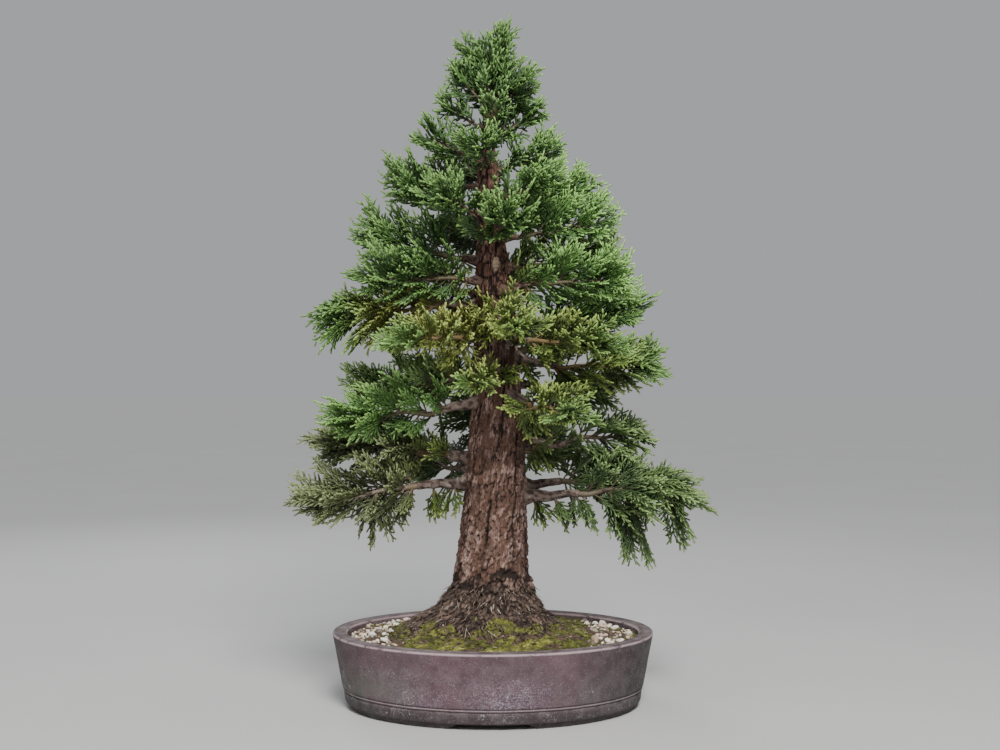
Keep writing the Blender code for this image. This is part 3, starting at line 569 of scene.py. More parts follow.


# %% [markdown]
# Unglazed clay is matt and speckled. Years of watering leave white lime bloom and
# chalky scribbles on the front, a grey-green film near the ends, and a lip and beads
# rubbed paler than the wall, with a painted highlight along their edges. Painted shade
# darkens both ends, the bottom below the bead and the grooves beside it. Each of these
# is a mask over one base colour.

# %% The pot's clay


def clay_finish():
    """Masks by place and noise, then the layers of colour in the order they are laid on:
    each is a mask, a share and a colour."""
    material, tree, shader = new_material("fired_clay")
    place = object_place(tree)
    x, _, z = add(tree, "SeparateXYZ", {0: place}).outputs
    grain = use_group(tree, GRAIN, {"Coarse": 45.0, "Fine": 1300.0})
    colour = blend(tree, grain["Mottle"], rgb(0.088, 0.049, 0.057), rgb(0.137, 0.084, 0.098))
    cloudy = noise_mask(tree, place, (14.0, 3.0, 0.6), 0.4, 0.62)
    film_place = maximum(tree, remap(tree, x, 0.05, 0.17), remap(tree, x, -0.07, -0.16))
    film = multiply(tree, film_place, noise_mask(tree, place, (26.0, 4.0), 0.3, 0.55))
    film = multiply(tree, film, remap(tree, z, 0.075, 0.03))
    low_front = band(tree, z, 0.080, 0.034, 0.0, 0.024)
    middle = multiply(tree, remap(tree, x, -0.17, -0.05), remap(tree, x, 0.10, 0.03, 0.3, 1.0))
    bloom = multiply(tree, noise_mask(tree, place, (24.0, 5.0, 0.7), 0.30, 0.56), low_front)
    bloom = multiply(tree, bloom, middle)
    spatter = noise_mask(tree, place, (540.0, 4.0, 0.75, 0.8), 0.49, 0.61, 0.02, 1.0)
    bloom = multiply(tree, bloom, spatter)
    # Painted shade: the wall darkens towards both ends, the right one most, and along the bottom below the
    # bead.
    ends = maximum(tree, remap(tree, x, 0.06, 0.18, 0.0, 1.4), remap(tree, x, -0.13, -0.21))
    painted_end_and_foot_shade = maximum(tree, multiply(tree, ends, 0.66), remap(tree, z, 0.026, 0.014, 0.0, 0.85))
    wander = value_noise(tree, place, 75.0, 2.0, 0.5, 1.6)
    line = combine(tree, "COMPARE", wander, 0.5, 0.011)
    sparse = noise_mask(tree, place, (22.0, 2.0), 0.52, 0.6)
    scribble = multiply(tree, multiply(tree, line, sparse), low_front)
    specks = noise_mask(tree, place, (760.0, 2.0, 0.6), 0.62, 0.70)
    pits = noise_mask(tree, place, (700.0, 1.0), 0.34, 0.28)
    lip_edge = band(tree, z, 0.0872, 0.0888, 0.0911, 0.0903)
    bead_edge = band(tree, z, 0.0212, 0.0226, 0.0245, 0.0232)
    # Painted shade in the two grooves beside the bead.
    crease = maximum(tree, band(tree, z, 0.0190, 0.0204, 0.0218, 0.0208),
                     band(tree, z, 0.0232, 0.0242, 0.0256, 0.0246))
    # Rubbed wear on the lip's edge and on the bead, which also stands in for a painted highlight there.
    wear_and_highlight = multiply(tree, maximum(tree, lip_edge, multiply(tree, bead_edge, 0.3)),
                    noise_mask(tree, place, (60.0, 5.0, 0.7), 0.30, 0.50))
    lip_top = remap(tree, z, 0.0896, 0.0904)
    dust = use_group(tree, DUST, {"Scale": 70.0, "Upward": 0.7})["Mask"]
    height = combine(tree, "ADD", grain["Height"], value_noise(tree, place, 260.0, 3.0, 0.6))
    layers = ((cloudy, 0.45, (0.080, 0.058, 0.066)),
              (film, 0.85, (0.122, 0.126, 0.108)),
              (bloom, 0.50, (0.40, 0.355, 0.45)),
              (painted_end_and_foot_shade, 1.0, (0.038, 0.030, 0.032)),
              (scribble, 0.6, (0.50, 0.47, 0.50)),
              (specks, 0.45, (0.45, 0.40, 0.41)),
              (pits, 0.7, (0.03, 0.022, 0.022)),
              (crease, 0.75, (0.035, 0.026, 0.028)),
              (wear_and_highlight, 0.75, (0.46, 0.35, 0.37)),
              (lip_top, 0.7, (0.055, 0.040, 0.040)),
              (dust, 0.22, (0.36, 0.31, 0.30)))
    for mask, share, paint in layers:
        colour = tint(tree, colour, mask, share, paint)
    surface(tree, shader, colour, between(tree, grain["Mottle"], 0.56, 0.8),
            bump(tree, height, 0.0007, 0.6), 0.28)
    return material


pot = add_piece("pot_body", make_mesh("pot_body", *loft(pot_rings())), clay_finish(),
                "pot_clay", ["pot"])
drill(pot, [(POT_X + side * DRAIN_OFFSET, POT_Y) for side in (-1.0, 1.0)], DRAIN_RADIUS, -5.0, 30.0)
pot.data.set_sharp_from_angle(angle=math.radians(POT_EDGE))
pot_box = [[round(c, 4) for c in corner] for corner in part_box("pot")]
print("pot triangles:", triangle_count(pot.data), "box in metres:", pot_box)

# %% [markdown]
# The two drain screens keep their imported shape, which is already right: a square of
# black plastic mesh. They get moulded plastic with a fine spark-eroded grain.

# %% The drain screens


def plastic_finish():
    material, tree, shader = new_material("moulded_plastic")
    grain = use_group(tree, GRAIN, {"Coarse": 140.0, "Fine": 2600.0})
    dust = use_group(tree, DUST, {"Scale": 260.0, "Upward": 0.5})["Mask"]
    colour = blend(tree, grain["Mottle"], rgb(0.016, 0.016, 0.017), rgb(0.030, 0.030, 0.031))
    colour = tint(tree, colour, dust, 0.4, (0.12, 0.10, 0.08))
    surface(tree, shader, colour, between(tree, grain["Mottle"], 0.42, 0.6),
            bump(tree, grain["Height"], 0.0002, 0.5))
    return material


screen_plastic = plastic_finish()
for label in ("left", "right"):
    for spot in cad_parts["drain_screen_" + label].material_slots:
        spot.material = screen_plastic
print("drain screens finished")

# %% [markdown]
# ## The trunk and its bark
# A giant sequoia's bark is soft, fibrous and red-brown. It splits into long furrows
# that lean and join, and its ridges scale off in grey-pink plates. Sculpting it by hand
# would take days and texture bump would leave a smooth outline. Here the trunk is a
# grid: one parameter climbs, the other goes round. Its plain surface repeats the CAD's
# rule, a radius for each height times root lobes. Then noise that is stretched along
# the trunk moves each point in or out by up to a few millimetres.

# %% The trunk's shape
# Each row is a height, the centre's x and y there, and the radius
TRUNK_STATIONS = np.array([
    (55.0, -9.0, 0.0, 69.0), (101.0, -9.0, 0.0, 69.0), (112.0, -8.5, 0.0, 60.0),
    (124.0, -8.0, 0.0, 54.0), (139.0, -7.5, 0.0, 49.0), (157.0, -6.5, 0.0, 45.5),
    (176.0, -5.6, 0.0, 43.0), (251.0, -1.9, 1.0, 37.5), (326.0, -0.6, 2.0, 34.0),
    (376.0, 0.6, 2.0, 30.5), (440.0, -1.5, 1.0, 26.5), (501.0, -4.4, 0.0, 23.0),
    (565.0, -6.5, -1.0, 18.8), (626.0, -8.1, -1.0, 15.0), (689.0, -10.6, 0.0, 8.5),
    (751.0, -8.1, 1.0, 4.0), (801.0, 0.6, 1.0, 2.4), (849.0, 13.1, 0.0, 1.0)])
SOIL_LINE, STEM_TOP, LEADER_TOP = 101.0, 751.0, 849.0
LOBE_HEIGHTS, LOBE_SHARES = (101.0, 124.0, 176.0, 300.0), (0.17, 0.12, 0.05, 0.02)
TRUNK_TWIST, TRUNK_TWIST_TOP = 0.35, 640.0
TRUNK_COLUMNS, TRUNK_FOOT, BURIED_TOP = 180, 55.0, 92.0
RING_STEPS = ((95.0, 350.0, 1.3), (350.0, 560.0, 2.0), (560.0, STEM_TOP, 3.6))
STATION_SAMPLES = 7
BARK_GIRTH, BARK_SLANT = 45.0, 0.18
ROOT_LINE = 161.0
SKIRT_TOP, SKIRT_FALL, SKIRT_WIDTH = 108.0, 13.0, 23.0
# Each crack has a starting angle in degrees and the heights where it runs
CRACKS = ((-114.0, 150.0, 345.0), (-58.0, 215.0, 400.0), (-20.0, 160.0, 300.0), (35.0, 150.0, 330.0),
          (80.0, 220.0, 420.0), (140.0, 150.0, 310.0), (-160.0, 190.0, 390.0), (-88.0, 330.0, 480.0))
CRACK_LEAN, CRACK_WIDTH = 0.0018, 0.042
SCAR_HEIGHT, SCAR_TURN = 545.0, math.radians(268.0)
MOSSY_TURN = math.radians(-105.0)


def station(height, column, window=7.0):
    """A column of the station table at a height, averaged over a short window so that
    the stations leave no rings."""
    spread = np.linspace(-window, window, STATION_SAMPLES)
    held = np.clip(np.asarray(height, dtype=float)[..., None] + spread, TRUNK_FOOT, LEADER_TOP)
    return np.interp(held, TRUNK_STATIONS[:, 0], TRUNK_STATIONS[:, column]).mean(axis=-1)


def trunk_centre(height):
    height = np.asarray(height, dtype=float)
    return triples(station(height, 1) + BOX_CENTRE_X, station(height, 2) + BOX_CENTRE_Y, height)


def root_lobes(turn):
    """Swellings of the root base round the trunk, between about -1 and 1."""
    return (0.5 * np.cos(5.0 * turn + 0.6) + 0.32 * np.cos(3.0 * turn + 2.1)
            + 0.18 * np.cos(8.0 * turn + 1.0))


def trunk_girth(height, turn):
    """Radius before the bark: the station's radius times 1 + lobe share times lobes."""
    share = np.interp(height, LOBE_HEIGHTS, LOBE_SHARES)
    return station(height, 3, 4.0) * (1.0 + share * root_lobes(turn))


def root_skirt(height, turn):
    """Old surface roots widen the foot beyond the solid, most of all to the left: a
    bell curve of the height, 1 / (1 + d^2), times a share for each side."""
    above = np.maximum(height - SKIRT_TOP, 0.0) / SKIRT_FALL
    side = 0.28 + 0.50 * np.cos(turn) ** 2 - 0.22 * np.cos(turn) + 0.2 * root_lobes(turn + 0.5)
    return side * (SKIRT_WIDTH / (1.0 + above ** 2) + 0.8 * np.maximum(SKIRT_TOP - height, 0.0))


def trunk_twist(height):
    return TRUNK_TWIST * np.maximum((height - SOIL_LINE) / (TRUNK_TWIST_TOP - SOIL_LINE), 0.0)


def long_cracks(height, turn, wander):
    """Deep cracks that climb the trunk at a lean: each row gives the angle in degrees
    where one starts, and the heights between which it runs."""
    depth = np.zeros(len(height))
    for start, low, high in CRACKS:
        off = turn - math.radians(start) - CRACK_LEAN * (height - low) + wander
        off = (off + np.pi) % (2.0 * np.pi) - np.pi
        ends = ease_between(height, low - 15.0, low + 10.0)
        ends = ends * fade(height, high - 50.0, high)
        depth = np.maximum(depth, groove(off, CRACK_WIDTH) * ends)
    return depth


def bark_relief(height, turn):
    """How far the bark stands in or out, in millimetres, a mask of the painted shade in its
    furrows, cracks and gaps, and the plates' numbers. The noise is read on a straight tube,
    so that furrows follow the trunk. Each plate stands out most at its lower end, as
    peeling bark does. Below the root line the bark breaks into chunks, with a recess above
    them that is sunk and painted in shadow. High up it is knotty, and one cut has healed as
    a pale, wrinkled scar, with painted shade in its wrinkles."""
    place = on_tube(BARK_GIRTH, turn, height)
    lean = 6.0 * noise(place, (34.0, 34.0, 80.0), 11) + 1.6 * noise(place, (8.0, 8.0, 20.0), 12)
    around = turn + (lean - BARK_SLANT * (height - 300.0)) / BARK_GIRTH
    bent = on_tube(BARK_GIRTH, around, height)
    wander = 0.07 * noise(place, (30.0, 30.0, 34.0), 13) + 0.02 * noise(place, 6.0, 14)
    deep = long_cracks(height, turn, wander)
    deep = deep * (0.25 + 0.75 * ease_between(noise(place, (16.0, 16.0, 30.0), 15), -0.30, 0.10))
    narrow = groove(noise(bent, (6.0, 6.0, 46.0), 22), 0.06)
    crack, own, rise = plates(bent, (6.4, 6.4, 24.0), 31)
    flake, shade, peel = plates(bent + 3.0, (3.3, 3.3, 8.5), 41)
    wide = trunk_girth(height, turn) + root_skirt(height, turn)
    foot = on_tube(wide, turn, height)
    chunk, chunk_own, chunk_rise = plates(foot + 2.0 * noise(foot, 8.0, 62)[:, None], (6.5, 6.5, 11.0), 61)
    edge, chip = fade(crack, 0.0, 0.13), fade(flake, 0.0, 0.2)
    fibre = noise(bent, (1.5, 1.5, 7.0), 51)
    strength = np.clip(station(height, 3) / 34.0, 0.4, 1.1)
    ragged = height + 15.0 * noise(place, (22.0, 22.0, 30.0), 63) + 5.0 * noise(place, (7.0, 7.0, 7.0), 65)
    shaggy = fade(ragged, ROOT_LINE - 12.0, ROOT_LINE)
    recess = groove(ragged - ROOT_LINE + 3.0, 6.0)
    recess = recess * ease_between(noise(place, (16.0, 16.0, 20.0), 66), -0.3, 0.2)
    smooth = strength * (0.8 - 4.4 * deep - 1.6 * narrow - 0.7 * edge + 1.7 * (own - 0.5) - 1.2 * rise
                         - 0.6 * chip + 1.5 * (shade - 0.5) - 1.1 * peel + 0.4 * fibre)
    rough = (4.0 * (chunk_own - 0.5) - 2.4 * chunk_rise - 1.6 * fade(chunk, 0.0, 0.25)
             + 1.0 * (shade - 0.5) - 0.8 * peel + 4.5 * noise(foot, (18.0, 18.0, 30.0), 64))
    knotty = ease_between(height, 430.0, 500.0) * fade(height, 640.0, 700.0)
    curl, curl_own, curl_rise = plates(foot + 3.0 * noise(foot, 9.0, 68)[:, None], (9.0, 9.0, 14.0), 67)
    curl_gap = knotty * fade(curl, 0.0, 0.22)
    knots = 2.4 * noise(place, (17.0, 17.0, 13.0), 16) + 2.6 * (curl_own - 0.5) - 2.2 * curl_rise
    smooth = smooth + knotty * knots - 1.8 * curl_gap
    scar = np.exp(-((height - SCAR_HEIGHT) / 11.0) ** 2 - ((turn - SCAR_TURN) / 0.30) ** 2)
    ripple = 0.5 + 0.5 * np.sin(height * 1.3 + 9.0 * (turn - SCAR_TURN) ** 2 * 8.0)
    moved = (1.0 - shaggy) * smooth * (1.0 - 0.7 * scar) + shaggy * rough
    moved = moved - 3.2 * recess + scar * (3.5 + 0.8 * ripple)
    # Painted shade: cracks, plate edges, chips, the knots' gaps, the gaps between root chunks, the recess
    # and the scar's wrinkles darken the colour.
    cracks = 0.9 * deep + 0.55 * narrow + 0.42 * edge + 0.42 * chip - 0.2 * fibre
    cracks = np.clip(cracks + 0.7 * curl_gap, 0.0, 1.0)
    gaps = 0.55 * fade(chunk, 0.0, 0.25) + 0.35 * chip + 0.5 * noise(foot, 10.0, 69) + 0.28
    furrow = np.clip((1.0 - shaggy) * cracks + shaggy * np.clip(gaps, 0.0, 1.0) + 0.9 * recess, 0.0, 1.0)
    furrow = furrow * (1.0 - scar) + 0.6 * scar * (1.0 - ripple)
    return moved, furrow, (0.4 * own + 0.6 * shade) * (1.0 - scar) + 1.9 * scar


def trunk_skin(height, turn, lift):
    """Points on the dressed trunk, lifted off its plain surface by some millimetres."""
    radius = trunk_girth(height, turn) + root_skirt(height, turn) + lift
    angle = turn + trunk_twist(height)
    away = on_tube(1.0, angle, np.zeros(len(angle)))
    return trunk_centre(height) + away * radius[:, None]


def moss_on_roots(height, turn):
    """Where moss climbs the foot of the trunk: in patches, less and less with height."""
    place = trunk_skin(height, turn, 0.0)
    patch = 0.5 + 0.8 * noise(place, (17.0, 17.0, 30.0), 94)
    climb = 0.35 + 0.25 * np.cos(turn - MOSSY_TURN)
    return ease_between(patch - (height - SOIL_LINE) / (52.0 * climb), 0.30, 0.46)


def bark_grid():
    """Rings close together where the bark shows, wider apart where foliage hides it."""
    heights = np.concatenate([np.linspace(TRUNK_FOOT, BURIED_TOP, 4),
                              *(np.arange(*row) for row in RING_STEPS), [STEM_TOP]])
    turn = circle(TRUNK_COLUMNS)
    high, round_it = [grid.ravel() for grid in np.meshgrid(heights, turn, indexing="ij")]
    moved, furrow, plate = bark_relief(high, round_it)
    buried = ease_between(high, 60.0, 98.0)
    points = trunk_skin(high, round_it, moved * buried)
    values = {"furrow": furrow, "plate": plate, "moss": moss_on_roots(high, round_it)}
    return points.reshape(len(heights), TRUNK_COLUMNS, 3), values


# %% [markdown]
# The bark's colour follows its shape: furrows, cracks and gaps get painted shade that is
# nearly black, ridges are red-brown and plate faces grey-pink. The mesh carries the
# furrows' painted shade and the plate numbers as point values, so the colours sit exactly
# on the relief. Long fine fibres come from noise that the Mapping node stretches along
# the trunk.

# %% The bark's finish


def bark_finish(name, dark, middle, pale, fibre_stretch):
    """Bark from near-black painted shade in the furrows to pale plates; the middle colour is the living
    bark.
    """
    material, tree, shader = new_material(name)
    place = object_place(tree)
    furrow, plate = read_value(tree, "furrow"), read_value(tree, "plate")
    fibres = value_noise(tree, stretched(tree, place, fibre_stretch), 760.0, 4.0, 0.7)
    patches = value_noise(tree, place, 42.0, 4.0, 0.6)
    weathered = multiply(tree, remap(tree, plate, 0.40, 0.80, 0.0, 0.85), remap(tree, patches, 0.38, 0.58))
    weathered = multiply(tree, weathered, remap(tree, fibres, 0.42, 0.56, 0.25, 1.0))
    colour = blend(tree, remap(tree, fibres, 0.38, 0.60), rgb(*(0.60 * np.array(middle))), rgb(*middle))
    colour = blend(tree, weathered, colour, rgb(*pale))
    colour = tint(tree, colour, remap(tree, fibres, 0.55, 0.7), 0.35, pale)
    cloudy = multiply(tree, noise_mask(tree, place, (30.0, 3.0), 0.50, 0.62), 0.5)
    colour = blend(tree, cloudy, colour, rgb(*(0.45 * np.array(middle))))
    height = add(tree, "SeparateXYZ", {0: place}).outputs["Z"]
    root = remap(tree, height, 0.163, 0.145)
    earthy = blend(tree, remap(tree, patches, 0.40, 0.60),
                   rgb(0.075, 0.055, 0.045), rgb(0.19, 0.125, 0.095))
    colour = blend(tree, multiply(tree, root, 0.85), colour, earthy)
    colour = tint(tree, colour, remap(tree, height, 0.44, 0.54), 0.4, (0.21, 0.092, 0.062))
    colour = blend(tree, remap(tree, plate, 1.1, 1.6), colour, rgb(0.58, 0.42, 0.30))
    # Painted shade: the furrows take the dark colour.
    colour = blend(tree, remap(tree, furrow, 0.25, 0.85), colour, rgb(*dark))
    tufts = noise_mask(tree, place, (260.0, 3.0, 0.7), 0.36, 0.60)
    mossy = blend(tree, tufts, rgb(0.055, 0.050, 0.016), rgb(0.215, 0.220, 0.050))
    edge = combine(tree, "ADD", read_value(tree, "moss"), multiply(tree, tufts, 0.35))
    colour = blend(tree, remap(tree, edge, 0.5, 0.85), colour, mossy)
    grain = use_group(tree, GRAIN, {"Coarse": 220.0, "Fine": 2200.0})
    both = combine(tree, "ADD", fibres, multiply(tree, grain["Height"], 0.5))
    surface(tree, shader, colour, remap(tree, fibres, 0.3, 0.7, 0.72, 0.95),
            bump(tree, both, 0.0012, 0.8), 0.3)
    return material


bark = bark_finish("trunk_bark", (0.020, 0.012, 0.009), (0.130, 0.068, 0.048),
                   (0.45, 0.315, 0.275), (1.0, 1.0, 0.13))
rings, bark_values = bark_grid()
trunk_mesh = make_mesh("trunk_bark_shell", *loft(rings),
                       {label: np.append(numbers, (0.0, 0.0)) for label, numbers in bark_values.items()})
trunk = add_piece("trunk_bark_shell", trunk_mesh, bark, "trunk_bark", ["trunk"])
print("trunk triangles:", triangle_count(trunk.data))

# %% [markdown]
# ## The limbs
# Each limb is grown wood: it rises, sags and sways away from the trunk, and thins as it
# goes. The table repeats the CAD's limbs, so every tube sits within a few millimetres of
# its solid. All tubes are one bundle of rings: at each share of its length a limb has a
# centre, a direction and a radius, and the ring is square to the direction.

# %% The limb table and its curve
Limb = namedtuple("Limb", "name base heading reach tip sag bare pad tint")
# Lengths in millimetres, headings in degrees, and the bare part as a share of the reach
LIMB_ROWS = {
    "left": (
        (274, 187, 256, 238, -6, 0.36, 74, "grey"), (299, 169, 256, 318, -8, 0.32, 70, "grey"),
        (379, 197, 222, 352, 10, 0.36, 66, "green"), (414, 160, 205, 398, 14, 0.34, 62, "deep"),
        (492, 186, 230, 468, -4, 0.24, 66, "yellow"), (549, 172, 178, 592, 0, 0.22, 56, "green"),
        (524, 203, 178, 516, -4, 0.22, 54, "green"), (601, 186, 136, 664, -2, 0.20, 48, "green"),
        (636, 158, 124, 650, -6, 0.20, 42, "deep"), (668, 192, 96, 718, -2, 0.18, 38, "green"),
        (712, 172, 68, 762, -2, 0.16, 30, "green"), (742, 198, 56, 800, -2, 0.16, 30, "green")),
    "right": (
        (251, 356, 262, 264, -6, 0.38, 72, "deep"), (268, 27, 246, 262, -4, 0.36, 70, "deep"),
        (326, 9, 208, 342, 6, 0.42, 58, "deep"), (433, 353, 212, 420, 10, 0.34, 62, "yellow"),
        (402, 32, 196, 386, 8, 0.34, 58, "deep"), (470, 10, 198, 498, 0, 0.28, 58, "green"),
        (514, 338, 186, 520, -4, 0.26, 54, "green"), (541, 22, 176, 552, -4, 0.24, 52, "deep"),
        (575, 354, 160, 604, -2, 0.20, 52, "green"), (616, 14, 138, 650, -2, 0.20, 46, "green"),
        (660, 350, 98, 694, -2, 0.18, 40, "green"), (704, 12, 72, 744, -2, 0.16, 32, "green"),
        (735, 348, 66, 788, -2, 0.16, 32, "green")),
    "front": (
        (384, 302, 194, 352, 4, 0.34, 54, "yellow"), (410, 264, 182, 392, 0, 0.34, 50, "yellow"),
        (456, 234, 196, 446, 2, 0.28, 58, "yellow"), (452, 318, 200, 442, 2, 0.28, 58, "yellow"),
        (474, 282, 168, 452, -2, 0.30, 46, "yellow"), (572, 280, 138, 590, -6, 0.24, 50, "green"),
        (596, 236, 132, 622, -4, 0.22, 46, "green"), (620, 310, 124, 640, -4, 0.22, 44, "green"),
        (664, 262, 88, 688, -4, 0.20, 38, "green"), (706, 286, 62, 742, -2, 0.18, 30, "green"),
        (738, 262, 46, 786, -2, 0.18, 28, "green")),
    "back": (
        (290, 130, 214, 288, -2, 0.34, 68, "deep"), (308, 66, 208, 306, -2, 0.34, 68, "deep"),
        (356, 97, 198, 352, -2, 0.32, 62, "deep"), (396, 129, 196, 392, -2, 0.30, 60, "deep"),
        (440, 63, 188, 442, -2, 0.30, 58, "deep"), (470, 108, 180, 474, -2, 0.28, 58, "deep"),
        (508, 142, 178, 520, -2, 0.26, 54, "deep"), (528, 76, 170, 540, -2, 0.26, 54, "deep"),
        (582, 112, 150, 602, -2, 0.24, 50, "deep"), (604, 60, 140, 626, -2, 0.22, 48, "deep"),
        (652, 98, 110, 680, -2, 0.20, 42, "deep"), (700, 84, 76, 738, -2, 0.18, 34, "green"),
        (734, 106, 52, 784, -2, 0.18, 30, "green")),
}
LIMBS = [Limb(side + "_" + str(number), *row) for side, rows in LIMB_ROWS.items()
         for number, row in enumerate(rows, 1)]
LIMB_RADIUS_BASE, LIMB_RADIUS_PER_REACH, LIMB_END_SHARE = 1.4, 0.018, 0.58
LIMB_RISE_POWER, LIMB_SWAY, LIMB_SWAY_TURNS = 1.4, 0.03, 1.1
LIMB_KNEES, LIMB_KNEE_SPAN = 6.0, 34.0
UP = np.array([0.0, 0.0, 1.0])


def limb_axis(limb, share):
    """Centres of a limb at shares of its length: away from the trunk by share times
    reach, up by a power of the share less a sag, and aside by a slow wave."""
    share = np.asarray(share, dtype=float)[:, None]
    heading = math.radians(limb.heading)
    away = np.array([math.cos(heading), math.sin(heading), 0.0])
    aside = np.array([-math.sin(heading), math.cos(heading), 0.0])
    wave = np.sin(2.0 * np.pi * LIMB_SWAY_TURNS * share) * math.sin(limb.base)
    rise = (limb.tip - limb.base) * share ** LIMB_RISE_POWER
    rise = rise - 4.0 * limb.sag * share * (1.0 - share)
    start = trunk_centre(limb.base)
    along = np.concatenate([share * limb.reach, np.full((len(share), 2), float(limb.base))], axis=1)
    knee = LIMB_KNEES * np.stack([noise(along, LIMB_KNEE_SPAN, salt) for salt in (75, 76)], axis=-1)
    rise = rise + knee[:, :1]
    drift = LIMB_SWAY * limb.reach * wave + knee[:, 1:]
    return start + away * limb.reach * share + aside * drift + UP * rise


def limb_radius(limb, share):
    thick = LIMB_RADIUS_BASE + LIMB_RADIUS_PER_REACH * limb.reach
    return thick * (1.0 - (1.0 - LIMB_END_SHARE) * np.minimum(share / limb.bare, 1.0))


def tube_rings(centres, radii, sides):
    """Rings (rows, sides, 3) square to a path, with the radii given for each point of
    the grid or each row."""
    heading = unit(np.gradient(centres, axis=0))
    level = unit(np.cross(heading, UP))
    over = np.cross(level, heading)
    turn = circle(sides)
    around = (np.cos(turn)[None, :, None] * level[:, None, :]
              - np.sin(turn)[None, :, None] * over[:, None, :])
    return centres[:, None, :] + around * np.broadcast_to(radii, (len(centres), sides))[..., None]


def stack(parts):
    """Join (points, faces, values) parts into one mesh's arrays."""
    points, faces, values, start = [], [], {}, 0
    for part_points, part_faces, part_values in parts:
        points.append(part_points)
        faces.extend(table + start for table in part_faces)
        for label, numbers in part_values.items():
            values.setdefault(label, []).append(numbers)
        start += len(part_points)
    return np.concatenate(points), faces, {k: np.concatenate(v) for k, v in values.items()}


print("limbs:", len(LIMBS), "longest reach", max(limb.reach for limb in LIMBS), "mm")

# %% [markdown]
# The wood near the trunk is bare. It swells to a collar where it leaves the trunk, and
# carries ridges, lumps and old knots. A smooth tube with bump would look turned, so the
# noise moves each point of the rings, and the same numbers colour the bark.

# %% Bare wood of the limbs
LIMB_ROWS_PER_MM = 0.55
LIMB_SIDES = 13
COLLAR_REACH, COLLAR_SWELL = 12.0, 0.55
SWELL_HEIGHTS, BARK_SWELLS = (310.0, 450.0), (1.5, 1.35)


def limb_wood(limb):
    """One limb from inside the trunk to the end of its bare wood. The radius swells to
    a collar at the trunk, exp(-d / reach), and carries furrows and knots."""
    inside = 0.5 * float(station(limb.base, 3)) / limb.reach
    rows = max(10, int(LIMB_ROWS_PER_MM * (limb.bare - inside) * limb.reach))
    share = np.linspace(inside, limb.bare + 0.02, rows)
    centres = limb_axis(limb, share)
    turn = circle(LIMB_SIDES)
    radius = float(np.interp(limb.base, SWELL_HEIGHTS, BARK_SWELLS)) * limb_radius(limb, share)
    out = share * limb.reach - float(station(limb.base, 3))
    collar = COLLAR_SWELL * np.exp(-np.maximum(out, 0.0) / COLLAR_REACH)
    place = np.stack(np.broadcast_arrays(7.0 * np.cos(turn)[None, :], 7.0 * np.sin(turn)[None, :],
                                         (share * limb.reach)[:, None] + limb.base), axis=-1)
    flat = place.reshape(-1, 3)
    ridges = groove(noise(flat, (3.2, 3.2, 15.0), 71), 0.22)
    lumps = noise(flat, (7.0, 7.0, 12.0), 72)
    knots = ease_between(noise(flat * (0.3, 0.3, 1.0), 15.0, 74), 0.25, 0.7)
    flake, own, _ = plates(flat, (3.4, 3.4, 6.0), 73)
    flake = fade(flake, 0.0, 0.3)
    rough = 1.0 + 0.18 * lumps + 0.30 * knots - 0.12 * ridges - 0.06 * flake
    thick = radius[:, None] * (1.0 + collar[:, None]) * rough.reshape(rows, LIMB_SIDES)
    rings = tube_rings(centres, thick, LIMB_SIDES)
    points, faces = loft(rings)
    # Painted shade in the grooves between ridges and at the flakes' edges.
    values = {"furrow": np.append(np.clip(0.65 * ridges + 0.3 * flake, 0.0, 1.0), (0.0, 0.0)),
              "plate": np.append(own, (0.0, 0.0))}
    return points, faces, values


limb_bark = bark_finish("limb_bark", (0.045, 0.030, 0.024), (0.215, 0.155, 0.130),
                        (0.42, 0.345, 0.31), (1.0, 1.0, 1.0))
limb_mesh = make_mesh("limb_wood", *stack([limb_wood(limb) for limb in LIMBS]))
add_piece("limb_wood", limb_mesh, limb_bark, "trunk_bark", ["trunk"])
print("limb triangles:", triangle_count(limb_mesh))

# %% [markdown]
# ## Soil and moss
# Bonsai soil is a free-draining mix, kept damp under moss. Moss grows in low cushions
# that meet in creases, bright where it is watered and brown where it dries. The surface
# is a polar grid from the trunk to the pot's wall: the CAD's rule gives its height, and
# cushions from rounded cell noise are laid over it. The same function gives the height
# for everything that lies on it, so nothing floats.

# %% The soil's shape
SOIL_EDGE, SOIL_MOUND, SOIL_POWER = 83.0, 99.3, 1.5
SOIL_WALL_INSET = 19.0 + 0.15
SOIL_COLUMNS, SOIL_ROWS = 264, 72
SOIL_WALLS, SOIL_HOLLOW = ((31.0, 16.3), (27.6, 22.5), (22.7, 60.0)), 54.7
COVER = ("moss", "cushion", "crease")


def soil_place(turn, step):
    """A point of the plain soil surface: the trunk's outline at step 0, the pot's wall
    at step 1, and a mound that falls by (1 - step)^1.5 between them."""
    centre = trunk_centre(SOIL_LINE)
    inner = trunk_girth(np.full(np.shape(turn), SOIL_LINE), turn)
    ox, oy = oval(SOIL_WALL_INSET, turn)
    x = (centre[0] + inner * np.cos(turn)) * (1.0 - step) + ox * step
    y = (centre[1] + inner * np.sin(turn)) * (1.0 - step) + oy * step
    z = SOIL_EDGE + (SOIL_MOUND - SOIL_EDGE) * np.clip(1.0 - step, 0.0, 1.2) ** SOIL_POWER
    return triples(x, y, z)


